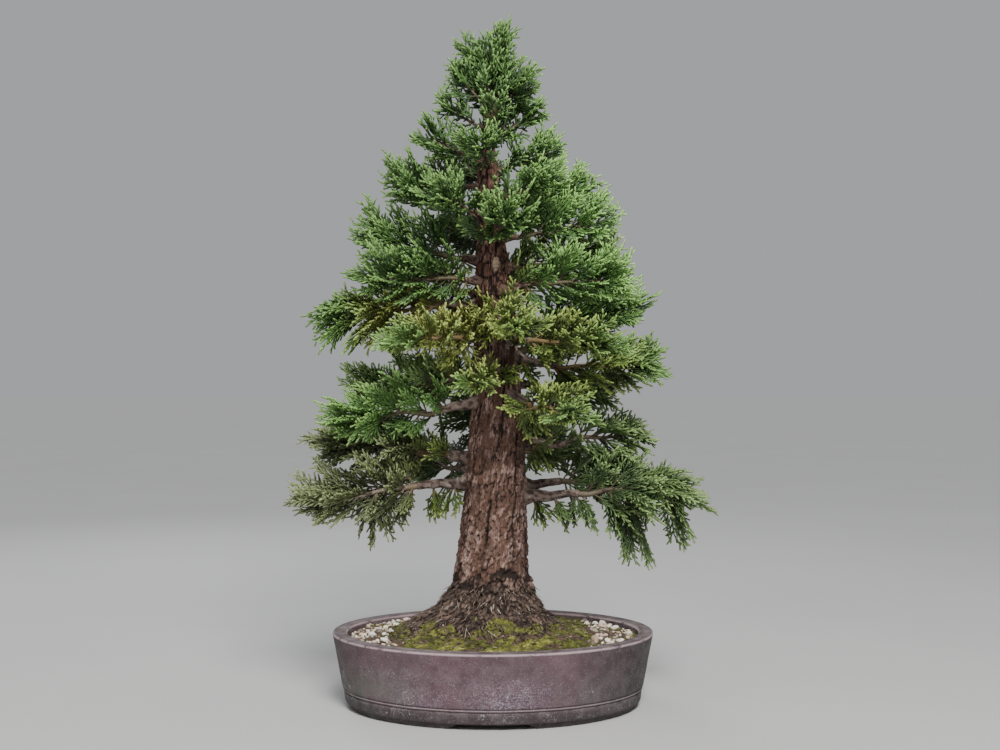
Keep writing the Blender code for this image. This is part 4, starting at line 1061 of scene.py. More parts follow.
def moss_share(points):
    """Where moss grows: mostly all over, least where litter and pebbles lie."""
    flat = points * (1.0, 1.0, 0.0)
    patch = layered(flat, (27.0, 27.0, 27.0), 3, 81)
    offset = points - trunk_centre(SOIL_LINE)
    turn, line = np.arctan2(offset[:, 1], offset[:, 0]), np.full(len(points), SOIL_LINE)
    past_roots = np.hypot(offset[:, 0], offset[:, 1]) - trunk_girth(line, turn) - root_skirt(line, turn)
    bare = 0.55 * ease_between(np.abs(points[:, 0] - POT_X), 105.0, 150.0)
    litter = 0.7 * fade(past_roots, 0.0, 16.0)
    return ease_between(0.22 + patch - bare - litter, -0.06, 0.12)


def soil_relief(points):
    """Height of moss cushions and crumbs over the plain surface, in millimetres."""
    flat = points * (1.0, 1.0, 0.0)
    moss = moss_share(points)
    swell, own, _ = plates(flat + 2.0 * noise(flat, 9.0, 84)[:, None], (13.0, 13.0, 13.0), 82)
    small, _, _ = plates(flat, (5.0, 5.0, 5.0), 83)
    cushions = 2.6 * ease_between(swell, 0.0, 0.6) + 1.0 * ease_between(small, 0.0, 0.5)
    # Where cushions meet: the finish paints shade there.
    crease = np.maximum(fade(swell, 0.0, 0.3), 0.8 * fade(small, 0.0, 0.35))
    crumbs = 1.6 * layered(flat, (7.0, 7.0, 7.0), 3, 86) + 0.7 * noise(flat, 1.9, 87)
    return moss * (0.4 + cushions + 0.25 * crumbs) + (1.0 - moss) * (0.5 + crumbs), (moss, own, crease)


def soil_top(turn, step):
    points = soil_place(turn, step)
    lift, cover = soil_relief(points)
    settle = 1.0 - ease_between(step, 0.93, 1.0) * 0.8
    points[:, 2] += lift * settle
    return points, cover


def soil_mesh():
    """The mossy top, then the walls down to the pot's floor, as one closed loft."""
    turn = circle(SOIL_COLUMNS)
    steps = np.linspace(1.0, -0.08, SOIL_ROWS)
    step_grid, turn_grid = [g.ravel() for g in np.meshgrid(steps, turn, indexing="ij")]
    top, cover = soil_top(turn_grid, step_grid)
    walls = []
    for inset, height in SOIL_WALLS:
        x, y = oval(inset, turn)
        walls.append(triples(x, y, np.full(SOIL_COLUMNS, height)))
    hole = top.reshape(SOIL_ROWS, SOIL_COLUMNS, 3)[-1:] * (1.0, 1.0, 0.0) + (0.0, 0.0, SOIL_HOLLOW)
    rings = np.concatenate([np.stack(walls), top.reshape(SOIL_ROWS, SOIL_COLUMNS, 3), hole])
    below, above = np.zeros(3 * SOIL_COLUMNS), np.zeros(SOIL_COLUMNS + 2)
    values = {label: np.concatenate([below, numbers, above]) for label, numbers in zip(COVER, cover)}
    return (*loft(rings), values)


# %% [markdown]
# Moss is coloured by three masks: where it grows, how each cushion differs from its
# neighbours, and where it is fresh yellow-green. Painted shade darkens the creases
# between cushions. Its velvet comes from thousands of tiny upright blades, each a closed
# three-sided needle, set on the cushions.

# %% The finish of soil and moss


def moss_colour(tree, place, moss, own):
    """Brown soil to olive to bright moss; the front and the middle are the freshest."""
    grain = use_group(tree, GRAIN, {"Coarse": 150.0, "Fine": 1100.0})
    soil = blend(tree, grain["Mottle"], rgb(0.042, 0.028, 0.018), rgb(0.150, 0.102, 0.066))
    olive = blend(tree, grain["Mottle"], rgb(0.075, 0.088, 0.018), rgb(0.22, 0.225, 0.055))
    fresh = blend(tree, grain["Mottle"], rgb(0.25, 0.27, 0.045), rgb(0.60, 0.58, 0.16))
    x, y, _ = add(tree, "SeparateXYZ", {0: place}).outputs
    front = multiply(tree, remap(tree, y, -0.055, -0.115), noise_mask(tree, place, (24.0, 3.0), 0.38, 0.56))
    centre = band(tree, x, 0.10, 0.04, -0.13, -0.07)
    bright = maximum(tree, multiply(tree, front, centre), multiply(tree, remap(tree, own, 0.7, 0.95), 0.6))
    green = blend(tree, bright, olive, fresh)
    velvet = noise_mask(tree, place, (650.0, 3.0, 0.7), 0.38, 0.60)
    green = tint(tree, green, velvet, 0.55, (0.055, 0.062, 0.012))
    # Painted shade in the creases between cushions.
    crease = remap(tree, read_value(tree, "crease"), 0.35, 0.9)
    green = tint(tree, green, crease, 0.75, (0.030, 0.030, 0.008))
    return blend(tree, moss, soil, green), grain


def soil_finish():
    material, tree, shader = new_material("mossy_soil")
    place = object_place(tree)
    colour, grain = moss_colour(tree, place, read_value(tree, "moss"), read_value(tree, "cushion"))
    surface(tree, shader, colour, between(tree, grain["Mottle"], 0.8, 0.97),
            bump(tree, grain["Height"], 0.0014, 0.9), 0.25)
    return material


mossy_soil = soil_finish()
soil = add_piece("soil_and_moss", make_mesh("soil_and_moss", *soil_mesh()), mossy_soil,
                 "soil_mix", ["soil"])
print("soil triangles:", triangle_count(soil.data))

# %% [markdown]
# ## A bundle of cords
# Twiglets, moss blades, bark chips and fallen needles all have one shape: a short
# tapered cord. Each starts at a point, leaves in a direction and bends by a parabola:
# place = start + length x (t x direction + t^2 x bend). The bundle is worked out as one
# array. Every cord has a root point, a few rings and a tip point, so it is closed.

# %% Cords as one array
Cords = namedtuple("Cords", "start direction bend length face tone young")


def cord_place(cords, share):
    """Place and direction at one share of each cord."""
    t = np.asarray(share)[:, None]
    place = cords.start + cords.length[:, None] * (t * cords.direction + t * t * cords.bend)
    return place, unit(cords.direction + 2.0 * t * cords.bend)


def cord_bundle(cords, radius, shape, sides, flatness=1.0):
    """Points and faces of all cords. The shape lists (share, swelling) for each ring."""
    count, rows = len(cords.length), len(shape)
    turn = circle(sides)
    root, _ = cord_place(cords, np.zeros(count))
    tip, _ = cord_place(cords, np.ones(count))
    layers = [root[:, None, :]]
    for share, swelling in shape:
        place, heading = cord_place(cords, np.full(count, share))
        level = unit(np.cross(heading, cords.face))
        over = np.cross(level, heading)
        around = (np.cos(turn)[None, :, None] * level[:, None, :]
                  - flatness * np.sin(turn)[None, :, None] * over[:, None, :])
        layers.append(place[:, None, :] + around * (radius * swelling)[:, None, None])
    layers.append(tip[:, None, :])
    points = np.concatenate(layers, axis=1)
    ring = np.arange(sides)
    each = [fan_faces(0, 1 + ring, False)]
    for row in range(rows - 1):
        low, high = 1 + row * sides + ring, 1 + (row + 1) * sides + ring
        low_next, high_next = np.roll(low, -1), np.roll(high, -1)
        each.append(triples(low, low_next, high_next))
        each.append(triples(low, high_next, high))
    each.append(fan_faces(1 + rows * sides, 1 + (rows - 1) * sides + ring, True))
    pattern = np.concatenate(each)
    faces = (np.arange(count) * points.shape[1])[:, None, None] + pattern
    return points.reshape(-1, 3), [faces.reshape(-1, 3)]


def along_cords(shape, sides, count):
    """The share of each point of a bundle along its cord, from 0 to 1."""
    one = np.concatenate([[0.0], np.repeat([share for share, _ in shape], sides), [1.0]])
    return np.tile(one, count)


def per_point(numbers, shape, sides):
    """A number for each cord, repeated for all of its points."""
    return np.repeat(numbers, 2 + len(shape) * sides)


print("one twiglet of three sides and two rings has", 3 + 6 + 3, "triangles")

# %% [markdown]
# Close by, moss is a crowd of upright stems a millimetre or two high. Bump would leave
# its outline smooth, and hair would not survive as a mesh. So short closed needles stand
# where the moss grows, on the cushions and up the foot of the trunk.

# %% Moss blades
BLADE_COUNT, ROOT_BLADES = 8000, 2700
BLADE_SHAPE, BLADE_SIDES = ((0.12, 1.0),), 3
BLADE_LENGTHS, BLADE_RADII, BLADE_LEAN = (1.3, 2.6), (0.25, 0.5), 0.35
ROOT_BLADES_FROM, ROOT_BLADES_RISE = SOIL_LINE - 4.0, 34.0


def moss_blades():
    """Tiny upright needles on the moss, closer together where it is thickest."""
    draw = np.random.default_rng(5)
    turn = draw.uniform(0.0, 2.0 * np.pi, 2 * BLADE_COUNT)
    step = np.sqrt(draw.uniform(0.02, 1.0, 2 * BLADE_COUNT)) * 0.975
    points, (moss, own, crease) = soil_top(turn, step)
    keep = np.flatnonzero(moss > draw.uniform(0.25, 1.0, len(moss)))[:BLADE_COUNT]
    points, own, crease = points[keep] - (0.0, 0.0, 0.4), own[keep], crease[keep]
    height = ROOT_BLADES_FROM + ROOT_BLADES_RISE * draw.uniform(0.0, 1.0, 6 * ROOT_BLADES)
    turn = draw.uniform(0.0, 2.0 * np.pi, 6 * ROOT_BLADES)
    keep = np.flatnonzero(moss_on_roots(height, turn) > draw.uniform(0.3, 1.0, len(turn)))[:ROOT_BLADES]
    height, turn = height[keep], turn[keep]
    skin = trunk_skin(height, turn, bark_relief(height, turn)[0] - 0.4)
    points = np.concatenate([points, skin])
    own = np.append(own, 0.5 + 0.5 * noise(skin, 9.0, 96))
    crease = np.append(crease, np.zeros(len(skin)))
    direction = unit(UP + draw.normal(0.0, BLADE_LEAN, points.shape))
    face = unit(np.cross(direction, draw.normal(0.0, 1.0, points.shape)))
    length = draw.uniform(*BLADE_LENGTHS, len(points))
    cords = Cords(points, direction, np.zeros_like(points), length, face, own, own)
    radius = draw.uniform(*BLADE_RADII, len(points))
    made, faces = cord_bundle(cords, radius, BLADE_SHAPE, BLADE_SIDES)
    to_root = 1.0 - along_cords(BLADE_SHAPE, BLADE_SIDES, len(points))
    # The blades carry the creases' painted shade, strongest at their roots.
    values = {"moss": np.ones(len(made)), "cushion": per_point(own, BLADE_SHAPE, BLADE_SIDES),
              "crease": per_point(crease, BLADE_SHAPE, BLADE_SIDES) * to_root}
    return make_mesh("moss_blades", made, faces, values)


blades = add_piece("moss_blades", moss_blades(), mossy_soil, "soil_mix")
print("moss triangles:", triangle_count(blades.data))

# %% [markdown]
# ## Pebbles
# Washed pebbles lie in a patch at each end of the pot: white quartz, cream and pink
# stones among grey ones, three to ten millimetres long. One lumpy template of 80 faces is
# turned, stretched and scaled for each pebble. Every pebble is sunk a little into the
# bed, and carries its own number, which picks its colour.

# %% Pebble patches
PEBBLE_SIZES = (1.4, 5.2)
# Each patch has a name, a middle and half a width in degrees, and its CAD node
PATCHES = (("pebbles_left", 180.0, 51.0, "gravel_left"), ("pebbles_right", 0.0, 45.0, "gravel_right"))
PEBBLE_TRIES, PEBBLE_EDGE, PEBBLE_LUMPS, PEBBLE_LIFT = 1100, 24.0, 0.42, 0.22


def pebble_template():
    ball = bmesh.new()
    bmesh.ops.create_icosphere(ball, subdivisions=2, radius=1.0)
    points = np.array([v.co for v in ball.verts])
    faces = np.array([[v.index for v in face.verts] for face in ball.faces])
    ball.free()
    return points, faces


def scattered(draw, middle, half_width):
    """Spots in a patch that keep their distance: each new one is kept if it is clear of
    those before it by most of both radii."""
    turn = np.radians(middle + half_width * draw.uniform(-1.0, 1.0, PEBBLE_TRIES))
    off_middle = np.abs(np.degrees(turn) - middle) / half_width
    inner = 0.5 + 0.36 * off_middle ** 2
    step = inner + (0.965 - inner) * draw.uniform(0.0, 1.0, PEBBLE_TRIES)
    radius = PEBBLE_SIZES[0] + np.diff(PEBBLE_SIZES)[0] * draw.uniform(0.0, 1.0, PEBBLE_TRIES) ** 2
    points, _ = soil_top(turn, step)
    crowd = noise(points * (1.0, 1.0, 0.0), 15.0, 92) > draw.uniform(-0.35, 0.5, PEBBLE_TRIES)
    kept = []
    for k in range(PEBBLE_TRIES):
        gaps = np.hypot(*(points[kept, :2] - points[k, :2]).T) if kept else np.array([99.0])
        room = 0.9 * (radius[kept] + radius[k]) if kept else 0.0
        if crowd[k] and np.all(gaps > room):
            kept.append(k)
    return points[kept], radius[kept]


def pebble_mesh(name, middle, half_width, seed):
    draw = np.random.default_rng(seed)
    centres, radius = scattered(draw, middle, half_width)
    template, faces = pebble_template()
    count = len(radius)
    spin, tilt = draw.uniform(0.0, 2.0 * np.pi, count), draw.normal(0.0, 0.22, count)
    stretch = triples(np.full(count, 1.0), draw.uniform(0.6, 0.95, count),
                      draw.uniform(0.5, 0.85, count)) * radius[:, None]
    shape = template[None] * (1.0 + PEBBLE_LUMPS * noise(
        (template[None] + 9.0 * np.arange(count)[:, None, None]).reshape(-1, 3), 0.9, 91
    ).reshape(count, -1, 1))
    shape = shape * stretch[:, None, :]
    c, s = np.cos(tilt)[:, None], np.sin(tilt)[:, None]
    x, z = shape[..., 0] * c - shape[..., 2] * s, shape[..., 0] * s + shape[..., 2] * c
    c, s = np.cos(spin)[:, None], np.sin(spin)[:, None]
    points = np.stack([x * c - shape[..., 1] * s, x * s + shape[..., 1] * c, z], axis=-1)
    points += (centres + triples(np.zeros(count), np.zeros(count), PEBBLE_LIFT * radius))[:, None, :]
    table = (np.arange(count) * len(template))[:, None, None] + faces
    tone = np.repeat(draw.uniform(0.0, 1.0, count), len(template))
    mesh = make_mesh(name, points.reshape(-1, 3), [table.reshape(-1, 3)], {"tone": tone})
    mesh.set_sharp_from_angle(angle=math.radians(PEBBLE_EDGE))
    return mesh, count


def pebble_finish():
    """Quartz, cream, pink and grey stones by each pebble's own number, speckled finely."""
    material, tree, shader = new_material("washed_pebbles")
    colours = ((0.0, (0.80, 0.70, 0.54)), (0.26, (0.50, 0.36, 0.25)), (0.42, (0.34, 0.30, 0.22)),
               (0.54, (0.92, 0.88, 0.80)), (0.76, (0.68, 0.48, 0.38)), (0.88, (0.15, 0.12, 0.09)))
    stone = colour_ramp(tree, read_value(tree, "tone"), colours, "CONSTANT")
    grain = use_group(tree, GRAIN, {"Coarse": 320.0, "Fine": 2400.0})
    colour = tint(tree, stone, grain["Mottle"], 0.28, (0.26, 0.22, 0.18))
    surface(tree, shader, colour, between(tree, grain["Mottle"], 0.5, 0.8),
            bump(tree, grain["Height"], 0.0005, 0.6))
    return material


washed_pebbles = pebble_finish()
for seed, (name, middle, half_width, node) in enumerate(PATCHES):
    mesh, pebble_count = pebble_mesh(name, middle, half_width, 30 + seed)
    add_piece(name, mesh, washed_pebbles, "gravel_stone", [node])
    print(name, "has", pebble_count, "pebbles,", triangle_count(mesh), "triangles")

# %% [markdown]
# ## Litter
# Shed bark and dead twiglets gather round the roots and over the moss. They are flat or
# round cords laid on the same surfaces: on the flare of the roots they lie along the
# slope, and on the soil they lie level, each at its own turn.

# %% Bark chips and fallen twiglets
LITTER_LOW, LITTER_RISE, LITTER_BEND = 94.0, 54.0, 0.12
CHIP_SHAPE, CHIP_SIDES = ((0.12, 0.9), (0.82, 1.0)), 3
CHIPS_ON_ROOTS, STRIPS_ON_ROOTS, CHIPS_ON_SOIL, NEEDLES_ON_SOIL = 900, 1700, 900, 1000


def litter_on_roots(draw, count):
    """Chips on the lowest 50 mm of the trunk, lying down its slope."""
    height = LITTER_LOW + LITTER_RISE * draw.uniform(0.0, 1.0, count) ** 1.5
    turn = draw.uniform(0.0, 2.0 * np.pi, count)
    places = []
    for rise, shift in ((0.0, 0.0), (1.5, 0.0), (0.0, 0.02)):
        lift = 0.8 + 0.6 * bark_relief(height + rise, turn + shift)[0]
        places.append(trunk_skin(height + rise, turn + shift, lift))
    upward, sideways = unit(places[1] - places[0]), unit(places[2] - places[0])
    direction = unit(-upward + sideways * draw.normal(0.0, 0.6, count)[:, None]
                     + np.cross(sideways, upward) * draw.uniform(-0.12, 0.12, count)[:, None])
    return places[0], direction, unit(np.cross(sideways, upward))


def litter_on_soil(draw, count, reach):
    turn = draw.uniform(0.0, 2.0 * np.pi, count)
    step = draw.uniform(0.0, reach, count) ** 1.3
    points, _ = soil_top(turn, np.minimum(step, 0.96))
    spin = draw.uniform(0.0, 2.0 * np.pi, count)
    tilt = draw.normal(0.05, 0.14, count)
    direction = unit(on_tube(1.0, spin, tilt))
    return points + (0.0, 0.0, 0.5), direction, np.broadcast_to(UP, points.shape)


def litter_mesh(name, seed, groups):
    """Each group gives its spots, lengths, widths and flatness."""
    draw = np.random.default_rng(seed)
    parts = []
    for spots, count, (short, long), (thin, wide), flatness in groups:
        start, direction, face = spots(draw, count)
        length = short + (long - short) * draw.uniform(0.0, 1.0, count) ** 2
        bend = LITTER_BEND * draw.normal(0.0, 1.0, (count, 3))
        tone = np.clip(draw.uniform(0.0, 1.0, count) ** 1.4 + 0.5 * noise(start, 15.0, 95), 0.0, 1.0)
        cords = Cords(start, direction, bend, length, face, tone, tone)
        made, faces = cord_bundle(cords, draw.uniform(thin, wide, count), CHIP_SHAPE, CHIP_SIDES, flatness)
        parts.append((made, faces, {"tone": per_point(tone, CHIP_SHAPE, CHIP_SIDES)}))
    return make_mesh(name, *stack(parts))


def litter_finish():
    """Shed bark from black-brown through red-brown and orange to silver grey."""
    material, tree, shader = new_material("shed_bark")
    colours = ((0.0, (0.030, 0.021, 0.017)), (0.3, (0.090, 0.062, 0.050)), (0.55, (0.165, 0.115, 0.090)),
               (0.72, (0.30, 0.190, 0.130)), (0.86, (0.30, 0.245, 0.215)), (1.0, (0.56, 0.46, 0.37)))
    shed = colour_ramp(tree, read_value(tree, "tone"), colours)
    grain = use_group(tree, GRAIN, {"Coarse": 300.0, "Fine": 1800.0})
    dark = tint(tree, shed, grain["Mottle"], 0.5, (0.04, 0.026, 0.018))
    surface(tree, shader, dark, between(tree, grain["Mottle"], 0.7, 0.95),
            bump(tree, grain["Height"], 0.0006, 0.7))
    return material


def near_trunk(draw, count):
    return litter_on_soil(draw, count, 0.75)


def everywhere(draw, count):
    return litter_on_soil(draw, count, 1.0)


litter = add_piece("bark_litter", litter_mesh("bark_litter", 17, (
    (litter_on_roots, CHIPS_ON_ROOTS, (2.0, 9.0), (0.5, 1.5), 0.35),
    (litter_on_roots, STRIPS_ON_ROOTS, (4.0, 19.0), (0.3, 0.75), 0.6),
    (near_trunk, CHIPS_ON_SOIL, (2.5, 9.0), (0.5, 1.8), 0.35),
    (everywhere, NEEDLES_ON_SOIL, (3.0, 9.0), (0.3, 0.6), 1.0))), litter_finish(), "trunk_bark")
print("litter triangles:", triangle_count(litter.data))

# %% [markdown]
# ## Foliage
# A giant sequoia has no flat needles: its green parts are cords two to three millimetres
# thick, wrapped in scale leaves. A limb carries side shoots, a shoot carries twigs, and
# a twig carries short twiglets, alternately left and right in one plane, so that each
# shoot is a flat fern-like frond. That is one rule used three times. `sprout` grows a
# whole generation of side cords from another as arrays, and four nested generations make
# a spray. Hair or instances would be lighter, but they would not survive as a mesh.

# %% Growing one generation from another
GOLDEN_ANGLE, SWEEP, LAST_SHARE = 137.5, 0.33, 0.985
OPENING_SCATTER, LENGTH_RANGE, FACE_SCATTER, TONE_SCATTER = 5.0, (0.78, 1.15), 0.12, 0.07
SHOOT_SCATTER, SHOOT_OPENINGS, SHOOT_LENGTHS = 10.0, (4.0, 78.0), (0.7, 1.04)
SHOOT_SWEEP, SHOOT_TONES, SHOOT_YOUNG, SHOOT_AGEING = 0.12, (0.1, 0.9), 0.12, 0.13
LIGHT_SIDE, FAN_SCATTER = (0.0, -0.35, 0.45), 0.42
Generation = namedtuple("Generation", "spacing first opening reach roll lift radius sides shape gain")
SHOOTS = Generation(3.0, 0.0, (62.0, 34.0), None, 0.3, 0.14, (1.15, 1.35), 4,
                    ((0.03, 1.0), (0.4, 0.95), (0.75, 0.9), (0.96, 0.75)), 0.5)
TWIGS = Generation(4.9, 0.14, 37.0, (0.40, 0.24, 8.0), 0.16, 0.05, (1.2, 1.4), 3,
                   ((0.1, 0.9), (0.88, 0.9)), 0.35)
TWIGLETS = Generation(4.7, 0.16, 38.0, (0.19, 0.08, 7.6), 0.24, 0.05, (1.25, 1.6), 3,
                      ((0.14, 0.85), (0.84, 0.95)), 0.25)


def take(cords, owner):
    return Cords(*(part[owner] for part in cords))


def sprout(cords, draw, parent_gain, made):
    """Side cords along each cord, alternately left and right in its fan plane. Their
    length is (a - b x share) x parent + c, for reach = (a, b, c)."""
    counts = np.maximum(2, np.round(cords.length * (1.0 - made.first) / made.spacing)).astype(int)
    owner = np.repeat(np.arange(len(counts)), counts)
    order = np.arange(len(owner)) - np.repeat(np.cumsum(counts) - counts, counts)
    count = len(owner)
    share = made.first + (LAST_SHARE - made.first) * (order + draw.uniform(0.3, 0.7, count)) / counts[owner]
    parent = take(cords, owner)
    place, heading = cord_place(parent, share)
    aside = unit(np.cross(heading, parent.face)) * (2.0 * (order % 2) - 1.0)[:, None]
    over = np.cross(aside, heading)
    swing = draw.normal(0.0, made.roll, count)
    across = np.cos(swing)[:, None] * aside + np.sin(swing)[:, None] * over
    angle = np.radians(made.opening + draw.normal(0.0, OPENING_SCATTER, count))[:, None]
    direction = unit(np.cos(angle) * heading + np.sin(angle) * across)
    scale, fall, plus = made.reach
    length = (parent.length * (scale - fall * share) + plus) * draw.uniform(*LENGTH_RANGE, count)
    bend = made.lift * UP + SWEEP * (heading - direction)
    face = unit(parent.face + draw.normal(0.0, FACE_SCATTER, (count, 3)))
    face = unit(np.cross(np.cross(direction, face), direction))
    tone = np.clip(parent.tone + draw.normal(0.0, TONE_SCATTER, count), 0.0, 1.0)
    return Cords(place, direction, bend, length, face, tone, parent.young + parent_gain * share)


def on_path(points, share):
    """Place and direction at shares of a path of evenly spaced points."""
    spot = np.linspace(0.0, 1.0, len(points))
    heading = np.gradient(points, axis=0)
    place = np.stack([np.interp(share, spot, points[:, k]) for k in range(3)], axis=-1)
    ahead = np.stack([np.interp(share, spot, heading[:, k]) for k in range(3)], axis=-1)
    return place, unit(ahead)


def fan_face(place, direction, draw):
    """The side a fan turns to the light: away from the trunk, up and to the tree's
    front, with scatter, and square to the shoot."""
    away = (place - trunk_centre(place[:, 2])) * (1.0, 1.0, 0.0)
    away = away / np.maximum(np.linalg.norm(away, axis=1, keepdims=True), 20.0)
    wanted = 0.6 * away + np.array(LIGHT_SIDE) + draw.normal(0.0, FAN_SCATTER, place.shape)
    return unit(np.cross(np.cross(direction, wanted), direction))


def shoots_round(points, draw, lengths, openings, share, flat, lift):
    """The first generation: shoots round the core by the golden angle. Those to the
    sides are the longest; upright and hanging ones are shortened by the flatness."""
    count = len(share)
    place, heading = on_path(points, share)
    upright = np.where(np.abs(heading[:, 2:]) > 0.9, np.array([[0.0, 1.0, 0.0]]), UP[None])
    level = unit(np.cross(heading, upright))
    over = np.cross(level, heading)
    roll = np.radians(GOLDEN_ANGLE * np.arange(count)) + draw.normal(0.0, SHOOTS.roll, count)
    across = np.cos(roll)[:, None] * level + np.sin(roll)[:, None] * over
    opening = np.clip(openings + draw.normal(0.0, SHOOT_SCATTER, count), *SHOOT_OPENINGS)
    angle = np.radians(opening)[:, None]
    direction = unit(np.cos(angle) * heading + np.sin(angle) * across)
    squash = 1.0 - flat * np.sin(roll) ** 2 - flat * (np.sin(roll) < -0.3)
    length = lengths * squash * draw.uniform(*SHOOT_LENGTHS, count)
    bend = lift * UP + SHOOT_SWEEP * (heading - direction)
    tone = draw.uniform(*SHOOT_TONES, count)
    face = fan_face(place, direction, draw)
    return Cords(place, direction, bend, length, face, tone, SHOOT_YOUNG + SHOOT_AGEING * share)


# %% [markdown]
# Each generation has its own shape: the core is a tapering tube, and shoots, twigs and
# twiglets are cords of nearly one thickness. The points carry `young`, which climbs from
# 0 in the old wood to 1 at the outermost tips, and `tone`, which differs from frond to
# frond.

# %% One spray
CORE_TIP_RADIUS = 1.3
CORE_ROWS, CORE_SIDES = 22, 7
CLUMP_END, CROWDING = 0.6, 0.8
SIDE_GROWTH, END_MARGIN = 4.0, -4.0
TIER_HEIGHTS, FLATNESS, LIFTS = (400.0, 540.0), (0.26, 0.12), (0.02, 0.15)
FRONT_FLATNESS = 0.20
DROOPS = {"right_1": -0.24, "left_1": -0.06, "left_5": -0.42, "right_4": -0.14, "right_3": -0.26,
          "left_2": -0.20, "right_5": -0.15}
# Painted light: limbs that lie in the shade of others get their fronds' tone raised by this share, so fewer
# fronds darken.
SHADE_LIFTS = {"left_5": 0.35, "left_4": 1.0, "left_3": 1.0, "left_6": 0.2, "right_3": 0.4, "right_8": 0.3}
SIDE_SHARES = {"front_2": 0.66, "front_5": 0.85}
END_TRIMS = {"left_5": 10.0, "left_2": 16.0, "right_3": 8.0}


def dressed(cords, draw, made):
    """A generation's bundle of cords with its point values."""
    count = len(cords.length)
    points, faces = cord_bundle(cords, draw.uniform(*made.radius, count), made.shape, made.sides)
    along = along_cords(made.shape, made.sides, count)
    values = {"young": per_point(cords.young, made.shape, made.sides) + made.gain * along,
              "tone": per_point(cords.tone, made.shape, made.sides)}
    return points, faces, values


def core_part(points, radii):
    made, faces = loft(tube_rings(points, radii[:, None], CORE_SIDES))
    share = np.append(np.repeat(np.linspace(0.0, 1.0, len(points)), CORE_SIDES), (0.0, 1.0))
    return made, faces, {"young": 0.3 * share ** 2, "tone": np.full(len(made), 0.5)}


def spray_mesh(name, core, radii, shoots, draw):
    """Core, shoots, twigs and twiglets of one spray in one mesh."""
    twigs = sprout(shoots, draw, SHOOTS.gain, TWIGS)
    twiglets = sprout(twigs, draw, TWIGS.gain, TWIGLETS)
    parts = [core_part(core, radii), dressed(shoots, draw, SHOOTS), dressed(twigs, draw, TWIGS),
             dressed(twiglets, draw, TWIGLETS)]
    return make_mesh(name, *stack(parts)), len(twiglets.length)


def limb_spray(limb, seed):
    """The shoots stop short of the limb's end by about half their length and fan out
    there, so that the spray ends in a rounded clump."""
    draw = np.random.default_rng(seed)
    last = 1.0 - CLUMP_END * limb.pad / limb.reach
    core = limb_axis(limb, np.linspace(limb.bare - 0.01, last, CORE_ROWS))
    radii = np.linspace(1.2 * float(limb_radius(limb, limb.bare)), CORE_TIP_RADIUS, CORE_ROWS)
    count = max(8, int(round((last - limb.bare) * limb.reach / SHOOTS.spacing)))
    share = ((np.arange(count) + draw.uniform(0.2, 0.8, count)) / count) ** CROWDING
    openings = np.interp(share, (0.0, 1.0), SHOOTS.opening)
    to_end = (1.0 - limb.bare - (last - limb.bare) * share) * limb.reach + END_MARGIN
    to_end = to_end - END_TRIMS.get(limb.name, 0.0)
    side = (limb.pad + SIDE_GROWTH) * SIDE_SHARES.get(limb.name, 1.0)
    lengths = np.minimum(side, to_end / np.cos(np.radians(openings)))
    flat, lift = [float(np.interp(limb.base, TIER_HEIGHTS, ends)) for ends in (FLATNESS, LIFTS)]
    flat += FRONT_FLATNESS * limb.name.startswith("front")
    shoots = shoots_round(core, draw, lengths, openings, share, flat, lift + DROOPS.get(limb.name, 0.0))
    if limb.name in TUFTS:
        shoots = with_tufts(TUFTS[limb.name], partial(limb_axis, limb), shoots, draw)
    # Painted light: raise the fronds' tone on limbs that lie in shade.
    fresh = SHADE_LIFTS.get(limb.name, 0.0)
    shoots = shoots._replace(tone=fresh + (1.0 - fresh) * shoots.tone)
    return spray_mesh("foliage_" + limb.name, core, radii, shoots, draw)


# %% [markdown]
# Some limbs carry tufts of their own that hang or stand where the tree is old and
# sparse. Each row gives the share of the limb where the tuft grows, its aim and its
# length. A tuft is three shoots that spread from one spot.

